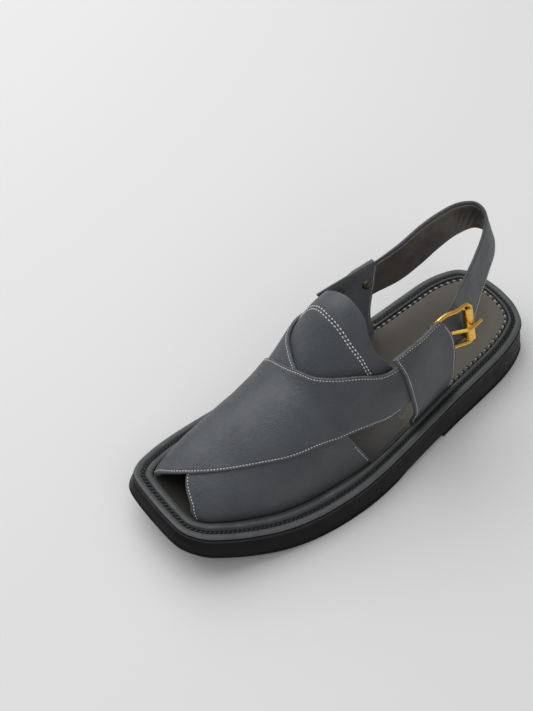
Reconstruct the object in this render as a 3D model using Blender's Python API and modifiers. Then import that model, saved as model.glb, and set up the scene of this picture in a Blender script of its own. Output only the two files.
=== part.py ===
"""A left peshawari chappal: crossed bands over a square toe, heel strap with a buckle, flat welted sole.

The toe points along -Y, the heel along +Y, the outer side of the foot is +X and the floor is z = 0.
Lengths are in metres. Tables give shares of the named sizes: "along" runs from the toe (0) to the
heel (1) of SOLE_LENGTH, and "round" runs over the last from its inner feather line (-1) by the
crown (0) to its outer feather line (1).
"""
import math

import bmesh
import bpy
import numpy as np
from mathutils import Vector

# Sole
SOLE_LENGTH = 0.300
BALL_WIDTH = 0.110
SOLE_AT_TOE = 0.0145
SOLE_AT_HEEL = 0.0260
TOE_SPRING = 0.0218
SPRING_START = 0.312
SIDE_FLARE = 0.0042
BEAD_HEIGHT = 0.0022
BEAD_DEPTH = 0.0008
FOOT_RIB = 0.0018
ARCH_START = 0.42
HEEL_BREAST = 0.652
ARCH_RISE = 0.0030

# Welt and insole
CLEARANCE = 0.0003
WELT_AT_TOE = 0.0115
WELT_AT_WAIST = 0.0092
WELT_TAPER_START = 0.30
WELT_TAPER_END = 0.50
OUTER_ROLL = 0.0042
OUTER_ROLL_RISE = 0.0026
GROOVE = 0.0024
GROOVE_RISE = 0.0012
INNER_ROLL_RISE = 0.0037
INSOLE = 0.0023

# Upper
INSTEP_HEIGHT = 0.096
BAND = 0.0020
TOP_BAND = 0.0028
TOP_BAND_LIFT = 0.0010
TOE_ROUNDING = 0.0030
TOE_SQUARE_MEDIAL = 0.40
TOE_SQUARE_LATERAL = 0.04
LIFT_SHARE = 0.16
TONGUE = 0.0020
QUARTER = 0.0022
QUARTER_MEDIAL = 0.0024
QUARTER_REST = 0.0015
POCKET_LAYER = 0.0012
POCKET_EDGE = 0.0016

# Strap, buckle and rivet
STRAP = 0.0022
SKIVED_STRAP = 0.0014
BUCKLE_WIRE = 0.0015
ROLLER_RADIUS = 0.0029
ROLLER_SHARE = 0.88
LEG_ARCH = 0.0012
PRONG_RADIUS = 0.0013
PRONG_DIP = 0.0009
PRONG_SHANK = 0.0095
PRONG_BEND = 0.0060
PRONG_TIP = 0.0075
RIVET_RADIUS = 0.0036
RIVET_RISE = 0.0014

# What covers or clears what
BAND_END_TOP = TOP_BAND + TOP_BAND_LIFT + CLEARANCE
BAND_END_UNDER = BAND + CLEARANCE
POCKET = 2 * POCKET_LAYER + SKIVED_STRAP + 2 * CLEARANCE

# Fineness of the meshes, and how far the corners of the lip line are felt inside it
SUBDIVISIONS = 3
CORNER_SOFTNESS = 0.008

# Lip line of the sole: widths to the inner and outer side of the centre line, shares of BALL_WIDTH
OUTLINE = (
    # along, medial, lateral
    (0.000, 0.284, 0.131),
    (0.010, 0.337, 0.190),
    (0.033, 0.390, 0.256),
    (0.067, 0.429, 0.306),
    (0.120, 0.468, 0.368),
    (0.200, 0.495, 0.441),
    (0.300, 0.497, 0.488),
    (0.400, 0.480, 0.498),
    (0.500, 0.456, 0.469),
    (0.600, 0.438, 0.424),
    (0.700, 0.431, 0.379),
    (0.800, 0.439, 0.341),
    (0.880, 0.441, 0.303),
    (0.935, 0.412, 0.253),
    (0.970, 0.362, 0.195),
    (0.992, 0.260, 0.085),
    (1.000, 0.130, -0.040),
)

# Sections of the last: the crown's place across (share of BALL_WIDTH) and height over the insole (share
# of INSTEP_HEIGHT), then for each side how far it bulges past the feather line (share of BALL_WIDTH),
# how high the bulge is (share of the crown's height) and how broad the crown is (share of the half)
LAST = (
    # along, crown, height, medial bulge, rise, breadth, lateral bulge, rise, breadth
    (0.045, -0.095, 0.085, 0.000, 0.20, 0.34, 0.000, 0.34, 0.48),
    (0.100, -0.090, 0.210, 0.000, 0.54, 0.55, 0.000, 0.56, 0.55),
    (0.200, -0.085, 0.370, 0.020, 0.62, 0.56, 0.000, 0.58, 0.54),
    (0.300, -0.080, 0.490, 0.060, 0.66, 0.55, 0.000, 0.50, 0.62),
    (0.370, -0.085, 0.575, 0.120, 0.70, 0.56, -0.050, 0.40, 0.55),
    (0.455, -0.110, 0.930, 0.115, 0.54, 0.95, -0.020, 0.34, 0.48),
    (0.510, -0.130, 1.000, 0.120, 0.54, 1.05, 0.020, 0.34, 0.55),
    (0.670, -0.105, 1.090, 0.155, 0.38, 1.10, 0.065, 0.34, 0.62),
)


def blend_row(table, at):
    """A table's row at a share of its first column, by a smooth curve through its rows."""
    rows = np.array(table)
    keys = rows[:, 0]
    at = min(max(at, keys[0]), keys[-1])
    i = min(int(np.searchsorted(keys, at, side="right")) - 1, len(keys) - 2)
    before, after = max(i - 1, 0), min(i + 2, len(keys) - 1)
    span = keys[i + 1] - keys[i]
    t = (at - keys[i]) / span
    slope_in = (rows[i + 1] - rows[before]) / (keys[i + 1] - keys[before])
    slope_out = (rows[after] - rows[i]) / (keys[after] - keys[i])
    return (rows[i] * (1 + 2 * t) * (1 - t) ** 2 + rows[i + 1] * t * t * (3 - 2 * t)
            + span * t * (1 - t) * (slope_in * (1 - t) - slope_out * t))


def ramp(value, start, end):
    """0 before start, 1 after end, smooth between."""
    t = min(max((value - start) / (end - start), 0.0), 1.0)
    return t * t * (3 - 2 * t)


def along_of(y):
    return y / SOLE_LENGTH + 0.5


def y_of(along):
    return (along - 0.5) * SOLE_LENGTH


def ground(y):
    """Height of the sole's underside: flat, then rising to the toe."""
    lift = max(0.0, (SPRING_START - along_of(y)) / SPRING_START)
    return TOE_SPRING * lift * lift


def lip(y):
    """Height of the sole's top."""
    return ground(y) + SOLE_AT_TOE + (SOLE_AT_HEEL - SOLE_AT_TOE) * along_of(y)


def insole_top(y):
    return lip(y) + CLEARANCE + INSOLE


def welt_width(y):
    share = ramp(along_of(y), WELT_TAPER_START, WELT_TAPER_END)
    return WELT_AT_TOE + (WELT_AT_WAIST - WELT_AT_TOE) * share


def smooth_through(points, subdivisions, closed=False):
    """Points on a smooth curve through the given points, with even steps in each span."""
    points = [np.array(p, dtype=float) for p in points]
    count = len(points)
    spans = count if closed else count - 1
    result = []
    for i in range(spans):
        if closed:
            p0, p1, p2, p3 = (points[(i + k) % count] for k in (-1, 0, 1, 2))
        else:
            p1, p2 = points[i], points[i + 1]
            p0 = points[i - 1] if i > 0 else 2 * p1 - p2
            p3 = points[i + 2] if i + 2 < count else 2 * p2 - p1
        d0, d1, d2 = (max(np.linalg.norm(b - a), 1e-6) ** 0.5 for a, b in ((p0, p1), (p1, p2), (p2, p3)))
        m1 = (p1 - p0) / d0 - (p2 - p0) / (d0 + d1) + (p2 - p1) / d1
        m2 = (p2 - p1) / d1 - (p3 - p1) / (d1 + d2) + (p3 - p2) / d2
        m1, m2 = m1 * d1, m2 * d1
        for k in range(subdivisions):
            t = k / subdivisions
            result.append((2 * t ** 3 - 3 * t ** 2 + 1) * p1 + (t ** 3 - 2 * t ** 2 + t) * m1
                          + (-2 * t ** 3 + 3 * t ** 2) * p2 + (t ** 3 - t ** 2) * m2)
    if not closed:
        result.append(points[-1])
    return result


def lip_line():
    """The lip line as paired points: inner side from toe to heel, then outer side from heel to toe."""
    medial = [(-row[1] * BALL_WIDTH, y_of(row[0])) for row in OUTLINE]
    lateral = [(row[2] * BALL_WIDTH, y_of(row[0])) for row in reversed(OUTLINE)]
    loop = smooth_through(medial + lateral, SUBDIVISIONS, closed=True)
    spans = (len(OUTLINE) - 1) * SUBDIVISIONS
    start = len(OUTLINE) * SUBDIVISIONS
    return np.array(loop[:spans + 1] + loop[start:start + spans + 1])


def inward_normals(loop):
    """Inward directions of the lip line, turning gently round its corners."""
    steps = np.linalg.norm(np.roll(loop, -1, axis=0) - loop, axis=1)
    travelled = np.cumsum(steps) - steps
    tangents = np.roll(loop, -1, axis=0) - np.roll(loop, 1, axis=0)
    tangents /= np.linalg.norm(tangents, axis=1)[:, None]
    normals = np.stack((tangents[:, 1], -tangents[:, 0]), axis=1)
    apart = np.abs(travelled[:, None] - travelled)
    apart = np.minimum(apart, steps.sum() - apart)
    reach = np.exp(-0.5 * (apart / CORNER_SOFTNESS) ** 2) * (steps + np.roll(steps, 1))
    soft = reach @ normals
    return soft / np.linalg.norm(soft, axis=1)[:, None]


LIP = lip_line()
INWARD = inward_normals(LIP)


def inset_line(inset):
    """The lip line moved inwards by inset(y), or outwards where it is negative."""
    amounts = [inset(y) if callable(inset) else inset for y in LIP[:, 1]]
    return LIP + INWARD * np.array(amounts)[:, None]


def feather_branches():
    """The last's feather line, as the inner and the outer branch from toe to heel."""
    loop = inset_line(lambda y: welt_width(y) + 2 * CLEARANCE + TOP_BAND)
    half = len(loop) // 2
    return [branch[np.argsort(branch[:, 1])] for branch in (loop[:half], loop[half:])]


FEATHER = feather_branches()
LAST_FRONT = max(branch[0, 1] for branch in FEATHER)


def feather(y, side):
    """How far across the last's feather line is; side is -1 for the inner and 1 for the outer one."""
    branch = FEATHER[0 if side < 0 else 1]
    across = np.interp(y, branch[:, 1], branch[:, 0])
    square = TOE_SQUARE_MEDIAL if side < 0 else TOE_SQUARE_LATERAL
    back = min(max((y - LAST_FRONT) / TOE_ROUNDING, square), 1.0)
    closing = (1 - (1 - back) ** 3) ** (1 / 3)
    crown = blend_row(LAST, along_of(y))[1] * BALL_WIDTH
    return crown + (across - crown) * closing


def last_point(along, around):
    """A point of the last's surface."""
    y = y_of(along)
    row = blend_row(LAST, along)
    side = -1 if around < 0 else 1
    bulge, rise, breadth = row[3:6] if side < 0 else row[6:9]
    base = insole_top(y) + CLEARANCE
    height = row[2] * INSTEP_HEIGHT
    crown = row[1] * BALL_WIDTH
    edge = feather(y, side)
    corners = np.array((
        (edge, base),
        (edge + side * bulge * BALL_WIDTH, base + rise * height),
        (crown + (edge - crown) * breadth, base + height),
        (crown, base + height),
    ))
    t = 1 - min(abs(around), 1.0)
    weights = np.array(((1 - t) ** 3, 3 * t * (1 - t) ** 2, 3 * t * t * (1 - t), t ** 3))
    across, up = weights @ corners
    return np.array((across, y, up))


def over_last(along, around, rise=0.0):
    """A point at a height over the last, square to its surface."""
    step = 0.004
    lengthwise = last_point(along + step, around) - last_point(along - step, around)
    low, high = max(around - step, -1.0), min(around + step, 1.0)
    crosswise = last_point(along, high) - last_point(along, low)
    normal = np.cross(crosswise, lengthwise)
    point = last_point(along, around) + normal / np.linalg.norm(normal) * rise
    point[2] = max(point[2], insole_top(point[1]) + CLEARANCE)
    return point


# The two bands: from the foot edge (0) to the hidden end (1), where the front and rear edges run
TOP_BAND_EDGES = (
    # share, front along, front round, rear along, rear round
    (0.00, 0.047, -1.00, 0.437, -1.00),
    (0.12, 0.053, -0.42, 0.400, -0.80),
    (0.24, 0.072, -0.05, 0.380, -0.62),
    (0.36, 0.108, 0.16, 0.374, -0.42),
    (0.48, 0.165, 0.32, 0.372, -0.22),
    (0.60, 0.240, 0.44, 0.380, 0.00),
    (0.72, 0.320, 0.52, 0.398, 0.19),
    (0.84, 0.400, 0.65, 0.440, 0.385),
    (0.93, 0.480, 0.75, 0.500, 0.505),
    (1.00, 0.590, 0.77, 0.590, 0.540),
)
UNDER_BAND_EDGES = (
    # share, front along, front round, rear along, rear round
    (0.00, 0.0495, 1.00, 0.443, 1.00),
    (0.10, 0.0505, 0.60, 0.418, 0.82),
    (0.22, 0.066, 0.14, 0.395, 0.62),
    (0.34, 0.108, -0.12, 0.380, 0.40),
    (0.46, 0.165, -0.28, 0.373, 0.18),
    (0.58, 0.240, -0.42, 0.378, -0.04),
    (0.70, 0.320, -0.56, 0.394, -0.24),
    (0.82, 0.400, -0.725, 0.424, -0.425),
    (0.92, 0.480, -0.825, 0.490, -0.555),
    (1.00, 0.590, -0.88, 0.590, -0.570),
)

# The quarters: from the foot edge (0) to the top edge (1)
QUARTER_LATERAL_EDGES = (
    # share, front along, front round, rear along, rear round
    (0.00, 0.573, 1.00, 0.707, 1.00),
    (0.22, 0.566, 0.86, 0.708, 0.86),
    (0.45, 0.557, 0.74, 0.705, 0.77),
    (0.65, 0.551, 0.65, 0.704, 0.68),
    (0.82, 0.545, 0.57, 0.698, 0.60),
    (0.93, 0.535, 0.50, 0.683, 0.52),
    (1.00, 0.528, 0.465, 0.664, 0.468),
)
QUARTER_MEDIAL_EDGES = (
    # share, front along, front round, rear along, rear round
    (0.00, 0.560, -1.00, 0.680, -1.00),
    (0.22, 0.562, -0.90, 0.683, -0.87),
    (0.45, 0.555, -0.80, 0.690, -0.775),
    (0.65, 0.546, -0.70, 0.694, -0.70),
    (0.82, 0.534, -0.61, 0.692, -0.62),
    (0.93, 0.522, -0.53, 0.688, -0.545),
    (1.00, 0.514, -0.487, 0.677, -0.500),
)

# The tongue, from its inner to its outer side: its hidden front edge and its rear edge
TONGUE_EDGES = (
    # round, front along, rear along
    (-0.640, 0.400, 0.540),
    (-0.487, 0.350, 0.528),
    (-0.310, 0.330, 0.511),
    (-0.200, 0.330, 0.506),
    (-0.100, 0.330, 0.508),
    (0.000, 0.330, 0.511),
    (0.200, 0.330, 0.513),
    (0.290, 0.335, 0.506),
    (0.390, 0.345, 0.507),
    (0.450, 0.355, 0.517),
    (0.600, 0.410, 0.550),
)

# The strap between the quarters: its top and its lower edge, across in shares of BALL_WIDTH, along in
# shares of SOLE_LENGTH and up in shares of INSTEP_HEIGHT over the floor
STRAP_EDGES = (
    # top across, along, up, low across, along, up
    (-0.396, 0.760, 0.972, -0.405, 0.773, 0.547),
    (-0.400, 0.817, 1.022, -0.405, 0.837, 0.583),
    (-0.391, 0.870, 1.060, -0.400, 0.895, 0.656),
    (-0.369, 0.920, 1.076, -0.382, 0.943, 0.712),
    (-0.309, 0.952, 1.076, -0.336, 0.985, 0.740),
    (-0.227, 0.953, 1.056, -0.236, 0.997, 0.735),
    (-0.151, 0.927, 0.990, -0.145, 0.977, 0.693),
    (-0.064, 0.873, 0.943, -0.059, 0.930, 0.656),
    (0.014, 0.823, 0.922, 0.036, 0.870, 0.635),
    (0.082, 0.778, 0.917, 0.123, 0.817, 0.625),
    (0.136, 0.737, 0.917, 0.195, 0.767, 0.625),
)
STRAP_TOP_MEDIAL = -0.535
STRAP_LOW_MEDIAL = -0.790
STRAP_TOP_LATERAL = 0.500
STRAP_LOW_LATERAL = 0.715
POCKET_START = 0.630
POCKET_MOUTH = 0.698
TAIL_PLACES = (0.700, 0.676, 0.652)

# Where the quarters' thickness and lift change: shares of the way along or round the last
REST_ALONG = (0.600, 0.665)
LATERAL_FOOT = (0.02, 0.17)
MEDIAL_FOOT = (0.0, 0.09)
POCKET_LEAD = 0.04
POCKET_FOOT = (0.03, 0.12)
POCKET_TOP = (0.012, 0.045)

# The buckle: the rear bar as the strap's edges are, the front bar and the legs as along and round,
# then how far its corners are cut, as shares of its bars and legs
ROLLER_TOP = (0.189, 0.760, 0.932)
ROLLER_LOW = (0.267, 0.768, 0.641)
FRONT_BAR_TOP = (0.652, 0.500)
FRONT_BAR_LOW = (0.688, 0.700)
LEG_TOP = (0.690, 0.490)
LEG_LOW = (0.716, 0.710)
BAR_CUT = 0.12
LEG_CUT = 0.08
REAR_OVERHANG = 0.03
RIVET_ALONG = 0.668
RIVET_ROUND = -0.660


def new_object(name, mesh, collection):
    thing = bpy.data.objects.new(name, mesh)
    collection.objects.link(thing)
    return thing


def finish(thing, material, sharp=35):
    thing.data.materials.clear()
    thing.data.materials.append(material)
    thing.data.shade_smooth()
    thing.data.set_sharp_from_angle(angle=math.radians(sharp))
    return thing


def mesh_from(name, vertices, faces):
    """A closed mesh from vertices and faces, with its faces pointing out."""
    mesh = bpy.data.meshes.new(name)
    shape = bmesh.new()
    corners = [shape.verts.new(Vector(v)) for v in vertices]
    for face in faces:
        shape.faces.new([corners[k] for k in face])
    bmesh.ops.recalc_face_normals(shape, faces=shape.faces[:])
    if shape.calc_volume(signed=True) < 0:
        bmesh.ops.reverse_faces(shape, faces=shape.faces[:])
    shape.to_mesh(mesh)
    shape.free()
    return mesh


def wall(name, inner, outer):
    """A closed wall between two grids of points of the same size."""
    rows, columns = len(inner), len(inner[0])
    vertices = [p for grid in (inner, outer) for line in grid for p in line]
    shift = rows * columns
    faces = []
    for i in range(rows - 1):
        for j in range(columns - 1):
            k = i * columns + j
            face = (k, k + 1, k + columns + 1, k + columns)
            faces.append(face)
            faces.append(tuple(shift + corner for corner in reversed(face)))
    rim = [j for j in range(columns)]
    rim += [i * columns + columns - 1 for i in range(1, rows)]
    rim += [(rows - 1) * columns + j for j in range(columns - 2, -1, -1)]
    rim += [i * columns for i in range(rows - 2, 0, -1)]
    for i, corner in enumerate(rim):
        following = rim[(i + 1) % len(rim)]
        faces.append((corner, following, shift + following, shift + corner))
    return mesh_from(name, vertices, faces)


def stacked(name, loops, ring=False):
    """A solid from closed loops stacked on each other, capped by strips or closed to a ring."""
    count = len(loops[0])
    vertices = [p for loop in loops for p in loop]
    faces = []
    for i in range(len(loops) if ring else len(loops) - 1):
        low, high = i * count, (i + 1) % len(loops) * count
        for k in range(count):
            following = (k + 1) % count
            faces.append((low + k, low + following, high + following, high + k))
    if not ring:
        for start in (0, (len(loops) - 1) * count):
            for k in range(count // 2 - 1):
                faces.append((start + k, start + k + 1, start + count - 2 - k, start + count - 1 - k))
    return mesh_from(name, vertices, faces)


def loop_at(inset, height):
    """The lip line moved inwards, at a height that is a function of how far along a point is."""
    return [(p[0], p[1], height(p[1])) for p in inset_line(inset)]


def make_material(name, colour, roughness, metallic=0.0):
    material = bpy.data.materials.new(name)
    material.use_nodes = True
    surface = material.node_tree.nodes["Principled BSDF"]
    surface.inputs["Base Color"].default_value = (*colour, 1.0)
    surface.inputs["Roughness"].default_value = roughness
    surface.inputs["Metallic"].default_value = metallic
    material.diffuse_color = (*colour, 1.0)
    return material


def arch_cutter(cutters):
    """The space under the arch, from the forefoot's flat to the heel's front face."""
    start, end = y_of(ARCH_START), y_of(HEEL_BREAST)
    steps = 10
    profile = [(start - ARCH_RISE, -ARCH_RISE)]
    for k in range(steps + 1):
        share = k / steps
        profile.append((start + (end - start) * share, ARCH_RISE * ramp(share, -0.2, 0.8)))
    profile.append((end, -ARCH_RISE))
    half = BALL_WIDTH
    vertices = [(side * half, y, z) for side in (-1, 1) for y, z in profile]
    count = len(profile)
    faces = [tuple(range(count)), tuple(range(2 * count - 1, count - 1, -1))]
    faces += [(k, (k + 1) % count, count + (k + 1) % count, count + k) for k in range(count)]
    cutter = new_object("arch_cutter", mesh_from("arch_cutter", vertices, faces), cutters)
    cutter.hide_render = True
    cutter.display_type = "WIRE"
    return cutter


def cut(thing, cutter, operation="DIFFERENCE"):
    change = thing.modifiers.new(operation.lower(), "BOOLEAN")
    change.operation = operation
    change.solver = "EXACT"
    change.object = cutter
    thing.modifiers.new("triangles", "TRIANGULATE")


def make_outsole(parts, cutters, material):
    """The rubber unit: a flared side wall with a rib at its foot and a bead under the lip."""
    loops = [
        loop_at(-SIDE_FLARE, ground),
        loop_at(-SIDE_FLARE, lambda y: ground(y) + FOOT_RIB),
        loop_at(-SIDE_FLARE + BEAD_DEPTH, lambda y: ground(y) + FOOT_RIB + BEAD_DEPTH),
        loop_at(0.0, lambda y: lip(y) - BEAD_HEIGHT - BEAD_DEPTH),
        loop_at(-BEAD_DEPTH, lambda y: lip(y) - BEAD_HEIGHT),
        loop_at(-BEAD_DEPTH, lambda y: lip(y) - BEAD_DEPTH),
        loop_at(0.0, lip),
    ]
    thing = new_object("outsole", stacked("outsole", loops), parts)
    cut(thing, arch_cutter(cutters))
    return finish(thing, material)


def make_welt(parts, material):
    """The leather ring: an outer roll, the stitched groove and an inner roll against the upper."""
    def inner_roll(share):
        start = OUTER_ROLL + GROOVE
        return lambda y: start + (welt_width(y) - start) * share

    profile = (
        (0.0004, CLEARANCE),
        (0.0, OUTER_ROLL_RISE * 0.5),
        (OUTER_ROLL * 0.2, OUTER_ROLL_RISE * 0.9),
        (OUTER_ROLL * 0.6, OUTER_ROLL_RISE),
        (OUTER_ROLL, OUTER_ROLL_RISE * 0.8),
        (OUTER_ROLL + GROOVE * 0.25, GROOVE_RISE),
        (OUTER_ROLL + GROOVE * 0.75, GROOVE_RISE),
        (inner_roll(0.06), INNER_ROLL_RISE * 0.8),
        (inner_roll(0.50), INNER_ROLL_RISE),
        (inner_roll(0.90), INNER_ROLL_RISE * 0.8),
        (inner_roll(1.00), CLEARANCE),
    )
    loops = [loop_at(inset, lambda y, rise=rise: lip(y) + rise) for inset, rise in profile]
    thing = new_object("welt", stacked("welt", loops, ring=True), parts)
    return finish(thing, material)


def make_insole(parts, material):
    """The footbed inside the welt."""
    def edge(extra):
        return lambda y: welt_width(y) + CLEARANCE + extra

    bevel = INSOLE * 0.2
    loops = [
        loop_at(edge(0.0), lambda y: lip(y) + CLEARANCE),
        loop_at(edge(0.0), lambda y: insole_top(y) - bevel),
        loop_at(edge(bevel), insole_top),
    ]
    thing = new_object("insole", stacked("insole", loops), parts)
    return finish(thing, material)


def panel(name, edges, rows, columns, inner, thickness, collection):
    """A wall over the last between a front and a rear edge; inner and thickness are functions."""
    grids = ([], [])
    for i in range(rows + 1):
        share = i / rows
        _, front, front_round, rear, rear_round = blend_row(edges, share)
        lines = ([], [])
        for j in range(columns + 1):
            t = j / columns
            along = front + (rear - front) * t
            around = front_round + (rear_round - front_round) * t
            rise = inner(share, along, around)
            lines[0].append(over_last(along, around, rise))
            lines[1].append(over_last(along, around, rise + thickness(share, along, around)))
        grids[0].append(lines[0])
        grids[1].append(lines[1])
    return new_object(name, wall(name, *grids), collection)


def make_upper(parts, cutters, material):
    """Two crossed bands in one wall: the top one is a step in it where they overlap."""
    thing = panel("upper", UNDER_BAND_EDGES, 26, 14, lambda *_: 0.0, lambda *_: BAND, parts)
    top = panel("top_band", TOP_BAND_EDGES, 26, 14,
                lambda share, *_: TOP_BAND_LIFT * ramp(share, 0.0, LIFT_SHARE),
                lambda *_: TOP_BAND, cutters)
    top.hide_render = True
    top.display_type = "WIRE"
    cut(thing, top, "UNION")
    return finish(thing, material)


def make_tongue(parts, material):
    """The domed piece under the bands."""
    columns, rows = 26, 12
    grids = ([], [])
    for i in range(rows + 1):
        lines = ([], [])
        for j in range(columns + 1):
            start, end = TONGUE_EDGES[0][0], TONGUE_EDGES[-1][0]
            around = start + (end - start) * j / columns
            _, front, rear = blend_row(TONGUE_EDGES, around)
            along = front + (rear - front) * i / rows
            lines[0].append(over_last(along, around, -CLEARANCE - TONGUE))
            lines[1].append(over_last(along, around, -CLEARANCE))
        grids[0].append(lines[0])
        grids[1].append(lines[1])
    thing = new_object("tongue", wall("tongue", *grids), parts)
    return finish(thing, material)


def lateral_lift(share, along, around):
    """The outer quarter's inner face: clear of the top band's end, lower behind it and at its foot."""
    foot = TOP_BAND - QUARTER
    over = BAND_END_TOP + (QUARTER_REST - BAND_END_TOP) * ramp(along, *REST_ALONG)
    return foot + (over - foot) * ramp(1 - around, *LATERAL_FOOT)


def medial_lift(share, along, around):
    """The inner quarter's inner face: clear of the under band's end, lower at its foot."""
    foot = TOP_BAND - QUARTER_MEDIAL
    return foot + (BAND_END_UNDER - foot) * ramp(1 + around, *MEDIAL_FOOT)


def medial_thickness(share, along, around):
    """The inner quarter grows to two layers round the strap's end and is skived at its top edge."""
    grow = ramp(along, POCKET_START - POCKET_LEAD, POCKET_START) * ramp(1 + around, *POCKET_FOOT)
    full = QUARTER_MEDIAL + (POCKET - QUARTER_MEDIAL) * grow
    return full + (POCKET_EDGE - full) * ramp(around - STRAP_TOP_MEDIAL, *POCKET_TOP)


def make_quarter_lateral(parts, material):
    """The outer side panel over the top band's end."""
    thing = panel("quarter_lateral", QUARTER_LATERAL_EDGES, 14, 8, lateral_lift,
                  lambda *_: QUARTER, parts)
    return finish(thing, material)


def make_quarter_medial(parts, cutters, material):
    """The inner side panel over the under band's end, with a pocket for the strap."""
    thing = panel("quarter_medial", QUARTER_MEDIAL_EDGES, 20, 10, medial_lift, medial_thickness, parts)
    pocket = new_object("strap_pocket", strap_mesh("strap_pocket", CLEARANCE, pocket_only=True), cutters)
    pocket.hide_render = True
    pocket.display_type = "WIRE"
    cut(thing, pocket)
    return finish(thing, material)


def strap_sections(pocket_only):
    """The strap's middle surface: top point, low point and thickness from the pocket to the tail."""
    in_pocket = BAND_END_UNDER + POCKET_LAYER + CLEARANCE + SKIVED_STRAP / 2
    sections = []
    for share in (0.0, 0.5, 1.0):
        along = POCKET_START + (POCKET_MOUTH - POCKET_START) * share
        sections.append((over_last(along, STRAP_TOP_MEDIAL, in_pocket),
                         over_last(along, STRAP_LOW_MEDIAL, in_pocket), SKIVED_STRAP))
    if pocket_only:
        return sections
    for top_across, top_along, top_up, low_across, low_along, low_up in STRAP_EDGES:
        sections.append((
            np.array((top_across * BALL_WIDTH, y_of(top_along), top_up * INSTEP_HEIGHT)),
            np.array((low_across * BALL_WIDTH, y_of(low_along), low_up * INSTEP_HEIGHT)), STRAP))
    inside = QUARTER_REST - 2 * CLEARANCE - 2 * BUCKLE_WIRE - STRAP / 2
    for along in TAIL_PLACES:
        sections.append((over_last(along, STRAP_TOP_LATERAL, inside),
                         over_last(along, STRAP_LOW_LATERAL, inside), STRAP))
    return sections


def strap_mesh(name, clearance, pocket_only=False):
    """The strap as a wall on both sides of its middle surface."""
    sections = strap_sections(pocket_only)
    path = smooth_through([np.concatenate((top, low, (thickness,)))
                           for top, low, thickness in sections], 4 if not pocket_only else 3)
    if pocket_only:
        direction = path[-1] - path[-2]
        path.append(path[-1] + direction * 2)
        path[0] = path[0] - (path[1] - path[0]) / np.linalg.norm((path[1] - path[0])[:3]) * clearance
    columns = 4
    grids = ([], [])
    for i, row in enumerate(path):
        top, low, thickness = row[:3], row[3:6], row[6]
        before, after = path[max(i - 1, 0)], path[min(i + 1, len(path) - 1)]
        lengthwise = (after[:3] + after[3:6]) - (before[:3] + before[3:6])
        rise = top - low
        rise /= np.linalg.norm(rise)
        normal = np.cross(lengthwise, rise)
        normal /= np.linalg.norm(normal)
        top = top + rise * clearance
        low = low - rise * clearance
        half = thickness / 2 + clearance
        grids[0].append([low + (top - low) * j / columns - normal * half for j in range(columns + 1)])
        grids[1].append([low + (top - low) * j / columns + normal * half for j in range(columns + 1)])
    return wall(name, *grids)


def make_heel_strap(parts, material):
    thing = new_object("heel_strap", strap_mesh("heel_strap", 0.0), parts)
    return finish(thing, material)


def strap_point(across, along, up):
    return np.array((across * BALL_WIDTH, y_of(along), up * INSTEP_HEIGHT))


def tube(name, points, radius, cyclic, collection):
    """A closed mesh tube along points, made from a curve."""
    curve = bpy.data.curves.new(name, "CURVE")
    curve.dimensions = "3D"
    curve.bevel_depth = radius
    curve.bevel_resolution = 2
    curve.use_fill_caps = True
    line = curve.splines.new("POLY")
    line.points.add(len(points) - 1)
    for corner, point in zip(line.points, points):
        corner.co = (*point, 1.0)
    line.use_cyclic_u = cyclic
    guide = bpy.data.objects.new(name + "_guide", curve)
    collection.objects.link(guide)
    bpy.context.view_layer.update()
    mesh = bpy.data.meshes.new_from_object(guide.evaluated_get(bpy.context.evaluated_depsgraph_get()))
    bpy.data.objects.remove(guide)
    bpy.data.curves.remove(curve)
    shape = bmesh.new()
    shape.from_mesh(mesh)
    bmesh.ops.remove_doubles(shape, verts=shape.verts[:], dist=0.00001)
    shape.to_mesh(mesh)
    shape.free()
    mesh.name = name
    return new_object(name, mesh, collection)


def behind_quarter(along, around):
    """A point of the buckle's front bar or legs, against the outer quarter's inner face."""
    return over_last(along, around, QUARTER_REST - CLEARANCE - BUCKLE_WIRE)


def make_buckle_frame(parts, material):
    """The wire frame: front bar inside the quarter, two legs and the rear bar inside the roller."""
    top, low = strap_point(*ROLLER_TOP), strap_point(*ROLLER_LOW)
    bar = low - top
    front_top, front_low = behind_quarter(*FRONT_BAR_TOP), behind_quarter(*FRONT_BAR_LOW)
    leg_top, leg_low = behind_quarter(*LEG_TOP), behind_quarter(*LEG_LOW)
    arch = np.array((LEG_ARCH, 0.0, LEG_ARCH))
    corners = [
        front_top + (front_low - front_top) * BAR_CUT,
        front_top + (leg_top - front_top) * LEG_CUT,
        leg_top,
        (leg_top + top) / 2 + arch,
        top - bar * REAR_OVERHANG + (leg_top - top) * BAR_CUT,
        top,
        low,
        low + bar * REAR_OVERHANG + (leg_low - low) * BAR_CUT,
        leg_low,
        front_low + (leg_low - front_low) * LEG_CUT,
        front_low + (front_top - front_low) * BAR_CUT,
    ]
    thing = tube("buckle_frame", corners, BUCKLE_WIRE, True, parts)
    return finish(thing, material)


def make_buckle_roller(parts, material):
    """The tube that turns on the rear bar."""
    top, low = strap_point(*ROLLER_TOP), strap_point(*ROLLER_LOW)
    length = np.linalg.norm(top - low)
    mesh = bpy.data.meshes.new("buckle_roller")
    shape = bmesh.new()
    bmesh.ops.create_cone(shape, cap_ends=False, segments=16, radius1=ROLLER_RADIUS,
                          radius2=ROLLER_RADIUS, depth=length * ROLLER_SHARE)
    shape.to_mesh(mesh)
    shape.free()
    thing = new_object("buckle_roller", mesh, parts)
    thing.location = Vector((top + low) / 2)
    thing.rotation_euler = Vector(top - low).to_track_quat("Z", "Y").to_euler()
    shell = thing.modifiers.new("tube", "SOLIDIFY")
    shell.thickness = ROLLER_RADIUS - BUCKLE_WIRE - CLEARANCE
    shell.offset = -1.0
    return finish(thing, material)


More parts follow.
